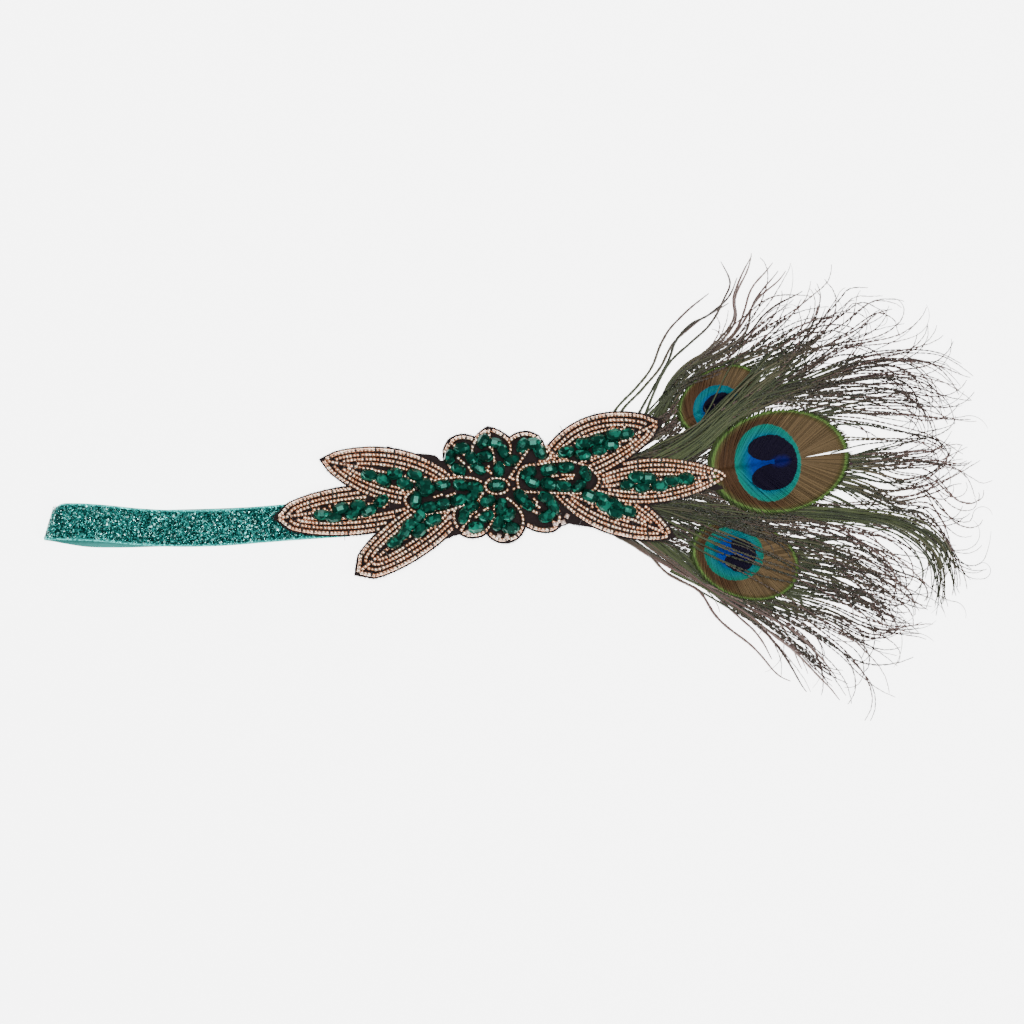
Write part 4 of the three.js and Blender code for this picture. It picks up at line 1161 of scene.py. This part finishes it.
for name, feather in FEATHERS.items():
    draws = np.random.default_rng(feather["seed"])
    angle = math.radians(feather["aim"])
    turn = np.array([[math.cos(angle), -math.sin(angle)], [math.sin(angle), math.cos(angle)]])
    quill_end = np.array(feather["quill"])
    length = feather["length"]
    a, b = feather["half"]
    shift = length + feather["shift"]
    scale = feather["scale"]

    def on_table(local):
        """Places in the feather's own frame, quill along X, moved to where it lies."""
        return np.concatenate([local[:, :2] @ turn.T + quill_end, local[:, 2:]], axis=1)

    quill_tip = length + feather["ring"][0] + 0.8 * feather["ring"][2]
    t = np.linspace(0, 1, QUILL_POINTS)
    height = np.interp(t, [0, 0.35, 0.6, 1], [0.9, 0.9, feather["eye"] - 0.35, feather["eye"] - 0.1])
    radius = np.interp(t, [0, 0.5, 1], [0.72, 0.5, 0.16])
    quill = on_table(np.stack([t * quill_tip, 0 * t, height], axis=1))
    sides = QUILL_SIDES
    turns = np.arange(sides)[None, :, None] * 2 * np.pi / sides
    level = np.array([*(turn @ np.array([0, 1.0])), 0])
    upright = np.array([0, 0, 1.0])
    tube = quill[:, None, :] + radius[:, None, None] * (np.cos(turns) * level + np.sin(turns) * upright)
    faces = []
    for start in range(0, sides * (len(t) - 1), sides):
        for j in range(sides):
            k = (j + 1) % sides
            faces.append((start + j, start + k, start + sides + k, start + sides + j))
    faces += [tuple(range(sides))[::-1], tuple(range(sides * (len(t) - 1), sides * len(t)))]
    stalk = solid(name + "_quill", tube.reshape(-1, 3), faces, [quill_horn],
                  values={"along": np.repeat(t, sides)})
    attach(stalk, "root")
    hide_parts(name)

    eye = new_batch()
    for side, slit in zip((1, -1), feather["slit"]):
        phis = np.linspace(math.radians(172), math.radians(slit), 400)
        rim_line = np.stack([a * np.cos(phis), b * np.sin(phis)], axis=1)
        run = run_along(rim_line)
        barbs = int(run[-1] / EYE_PITCH)
        for k in range(barbs):
            share = (k + draws.uniform(-0.2, 0.2)) / (barbs - 1)
            share = min(max(share, 0), 1)
            phi = np.interp(share * run[-1], run, phis)
            grow = draws.uniform(1.01, 1.07)
            end = np.array([shift + grow * a * math.cos(phi), side * grow * b * math.sin(phi)])
            root = np.array([np.interp(share, [0, 0.5, 0.85, 1], [
                shift - a * 1.02, length - 0.45 * a, quill_tip - 1.5, quill_tip]), 0.0])
            chord = end - root
            bend = math.atan2(chord[1], chord[0]) + side * math.radians(11 * (1 - share))
            middle = root + 0.5 * np.linalg.norm(chord) * np.array([math.cos(bend), math.sin(bend)])
            s = np.linspace(0, 1, EYE_BARB_POINTS)[:, None]
            line = (1 - s) ** 2 * root + 2 * s * (1 - s) * middle + s**2 * end
            s = s[:, 0]
            dome = 0.9 * scale * (1 - s**2) * 0.4 - 0.35 * s**3
            z = feather["eye"] + dome + draws.normal(0, 0.03)
            path = on_table(np.column_stack([line, z]))
            width = np.interp(s, [0, 0.25, 0.9, 1], [0.16, 0.24, 0.34, 0.12])
            eye["next_tone"] = draws.uniform(0, 1)
            strand(path, width, np.full(len(path), 0.1), np.full(len(path), side * 0.16), eye)
    for side, slit in zip((1, -1), feather["slit"]):
        n = WEB_POINTS
        rows = WEB_ROWS
        phis = np.linspace(math.radians(176), math.radians(slit), n)
        edge = np.stack([shift + WEB_EDGE * a * np.cos(phis), side * WEB_EDGE * b * np.sin(phis)], axis=1)
        spine = np.stack([np.linspace(shift - WEB_EDGE * a, quill_tip, n), np.zeros(n)], axis=1)
        web = []
        for k in range(rows + 1):
            line = spine + (edge - spine) * k / rows
            r = k / rows
            z = feather["eye"] + 0.36 * scale * (1 - r**2) - 0.35 * r**3 - 0.14
            web.append(on_table(np.column_stack([line, np.full(n, z)])))
        web = np.array(web)
        top = web.reshape(-1, 3)
        bottom = top - (0, 0, WEB_THICK)
        size = n * (rows + 1)
        first = eye["count"]
        cells = []
        for k in range(rows):
            for i in range(n - 1):
                quad = [k * n + i, k * n + i + 1, (k + 1) * n + i + 1, (k + 1) * n + i]
                quad = quad if side < 0 else quad[::-1]
                cells.append(quad)
                cells.append([size + c for c in quad[::-1]])
        border = [*range(n), *[k * n + n - 1 for k in range(1, rows + 1)],
                  *range(rows * n + n - 2, rows * n - 1, -1), *[k * n for k in range(rows - 1, 0, -1)]]
        for c, d in zip(border, border[1:] + border[:1]):
            quad = [d, c, size + c, size + d]
            cells.append(quad if side < 0 else quad[::-1])
        eye["points"] += [top, bottom]
        eye["faces"] += [[first + c for c in quad] for quad in cells]
        eye["along"].append(np.zeros(2 * size))
        eye["tone"].append(np.full(2 * size, 0.35))
        eye["count"] += 2 * size
    batch_piece(name + "_eye", eye, eye_finish(name + "_eye_colours", feather))

    loose = new_batch()
    part = 1
    s = np.linspace(0, 1, LINE_POINTS)

    def run_line(knots):
        """A smooth line through knots in steps of 0.42 mm, with a point for each share in s."""
        line = flat_line(np.array(knots) * PIXEL, 1.0)
        return np.stack([np.interp(s, np.linspace(0, 1, len(line)), line[:, k]) for k in (0, 1)], axis=1)

    sweeps = [(run_line(knots), strands) for knots, strands in feather["sweeps"]]
    bundles = [(first, second, strands, strands < LONE_RUN, 0)
               for (first, strands), (second, _) in zip(sweeps, sweeps[1:]) if strands]
    for knots, spread, strands, pinch in feather["locks"]:
        line = run_line(knots)
        ahead = ways_along(line)
        half_wide = spread * PIXEL * (1 - pinch * s**2)
        beside = np.stack([-ahead[:, 1], ahead[:, 0]], axis=1) * half_wide[:, None]
        bundles.append((line - beside, line + beside, strands, False, pinch))
    for first, second, strands, lone, lock in bundles:
        strands = strands if lone or lock else round(strands * BARB_CROWD)
        groups = max(1, round(strands / 6))
        tight = lock > TIGHT_LOCK
        dusky = lock == BASE_LOCK and name != "feather_upper"
        loose_share = 0.15 if lone else 0.25 if tight else 0.6 if lock else 1.0
        centres = draws.uniform(0, 1, groups)
        drifts = draws.normal(0, 2.4 * loose_share, (groups, 2))
        waves = draws.normal(0, 2.0 * loose_share, (groups, 2))
        curls = draws.normal(0, 1.1 * loose_share, groups)
        for k in range(strands):
            share = (k + draws.uniform(0, 0.9)) / strands
            group = np.argmin(np.abs(centres - share))
            gather = s**1.3 * draws.uniform(0.1, 0.75) * (0 if lone or lock else 1)
            shares = (share + (centres[group] - share) * gather)[:, None]
            line = first * (1 - shares) + second * shares
            line = line + (drifts[group] + draws.normal(0, 1.1 * loose_share, 2)) * s[:, None] ** 1.6
            wave = waves[group] + draws.normal(0, 0.6 * loose_share, 2)
            line = line + wave * np.sin(np.pi * s * draws.uniform(1, 2.2))[:, None]
            if lone:
                reach = 1.0
            elif lock:
                reach = draws.uniform(0.92 if tight else 0.8, 1.0)
            else:
                reach = min(1.0, draws.beta(5, 1.2) * 1.1)
            run = run_along(line)
            turns_in_all = max(5, int(run[-1] * reach / (sum(BARB_TURN) * draws.uniform(0.8, 1.25))))
            even = np.concatenate([[0], np.cumsum(np.tile(BARB_TURN, turns_in_all))])
            even *= run[-1] * reach / even[-1]
            count = len(even)
            line = np.stack([np.interp(even, run, line[:, k]) for k in (0, 1)], axis=1)
            q = even / even[-1]
            steps = np.diff(line, axis=0)
            stride = np.linalg.norm(steps, axis=1)
            heading = np.unwrap(np.arctan2(steps[:, 1], steps[:, 0]))
            late = np.clip((q[1:] - 0.7) / 0.3, 0, 1)
            curl = curls[group] + draws.normal(0, 0.6 * loose_share)
            ripple = 0.06 * np.sin(q[1:] * draws.uniform(9, 30) + draws.uniform(0, 6)) * q[1:]
            heading = heading + curl * late**2 + ripple + np.cumsum(draws.normal(0, 0.016, count - 1)) * q[1:]
            line = line[0] + np.concatenate([[[0, 0]], np.cumsum(np.stack(
                [stride * np.cos(heading), stride * np.sin(heading)], axis=1), axis=0)])
            outside = (line[:, 0] > PLUME_END) | (np.abs(line[:, 1]) > PLUME_SIDE)
            if outside.any():
                count = max(8, int(np.argmax(outside)))
                line = line[:count]
                q = q[:count] / q[count - 1]
            base = feather["bed"] + draws.uniform(-0.3, 1.1)
            arch = draws.uniform(0, 2.2) * np.sin(np.pi * q)
            if tight:
                arch += np.interp(q, [0.15, 0.4, 1], [0, 1.2, 0.8])
            fall = np.interp(q, [0, 0.75, 1], [1, 1 - 0.25 * (base > 1), 0.45])
            local = (line - quill_end) @ turn
            clear = np.hypot((local[:, 0] - shift) / a, local[:, 1] / b)
            under_eye = feather["eye"] - 0.6 + np.maximum(clear - 1.02, 0) * 8
            path = np.column_stack([line, np.maximum(np.minimum(base * fall + arch, under_eye), LOWEST)])
            loose["next_tone"] = draws.uniform(0, 1)
            loose["start"] = 0.5 if lone and name == "feather_lower" else 0.3 if dusky else 0.0
            loose["fade"] = 0.35 if tight else 0.7 if dusky else 1.0
            ragged = draws.uniform(0.85, 1.15, count)
            if lone:
                width = np.interp(q, [0, 0.1, 0.6, 0.9, 1], [0.64, 0.64, 0.58, 0.45, 0.2]) * ragged
                strand(path, width, width * 0.7, np.full(count, 0.3), loose)
                hairs(path, q, draws, loose)
            else:
                width = np.interp(q, [0, 0.1, 0.45, 0.85, 1], [0.42, 0.48, 0.46, 0.37, 0.18]) * ragged
                width *= draws.uniform(0.75, 1.15)
                flat = 0.85 if tight else draws.uniform(0.22, 0.45)
                rolled = np.array([-30, 30, 90])[np.arange(count) % 3] + 180 * (np.arange(count) // 3)
                twist = np.where(q < flat, 0.5, np.radians(rolled))
                thick = width * np.interp(q, [0, 0.75, 0.9, 1], [0.45, 0.5, 0.8, 1.0]) + 0.09
                strand(path, width, thick, twist, loose)
            if draws.uniform() < WISP_SHARE and not lone and not outside.any():
                turns = heading[-1] + np.linspace(0, draws.normal(0, 1.8), 12)
                stride = draws.uniform(0.6, 1.2)
                wisp = line[-3] + np.concatenate([[[0, 0]], np.cumsum(stride * np.stack(
                    [np.cos(turns), np.sin(turns)], axis=1), axis=0)])
                height = np.linspace(path[-3, 2], draws.uniform(0.3, 1.5), len(wisp))
                thin = np.linspace(0.17, 0.07, len(wisp))
                if np.max(wisp[:, 0]) < PLUME_END and np.max(np.abs(wisp[:, 1])) < PLUME_SIDE:
                    strand(np.column_stack([wisp, height]), thin, thin, np.zeros(len(wisp)), loose)
            if loose["count"] > BATCH_POINTS:
                batch_piece(f"{name}_barbs_{part}", loose, loose_barb)
                loose = new_batch()
                part += 1
    batch_piece(f"{name}_barbs_{part}", loose, loose_barb)
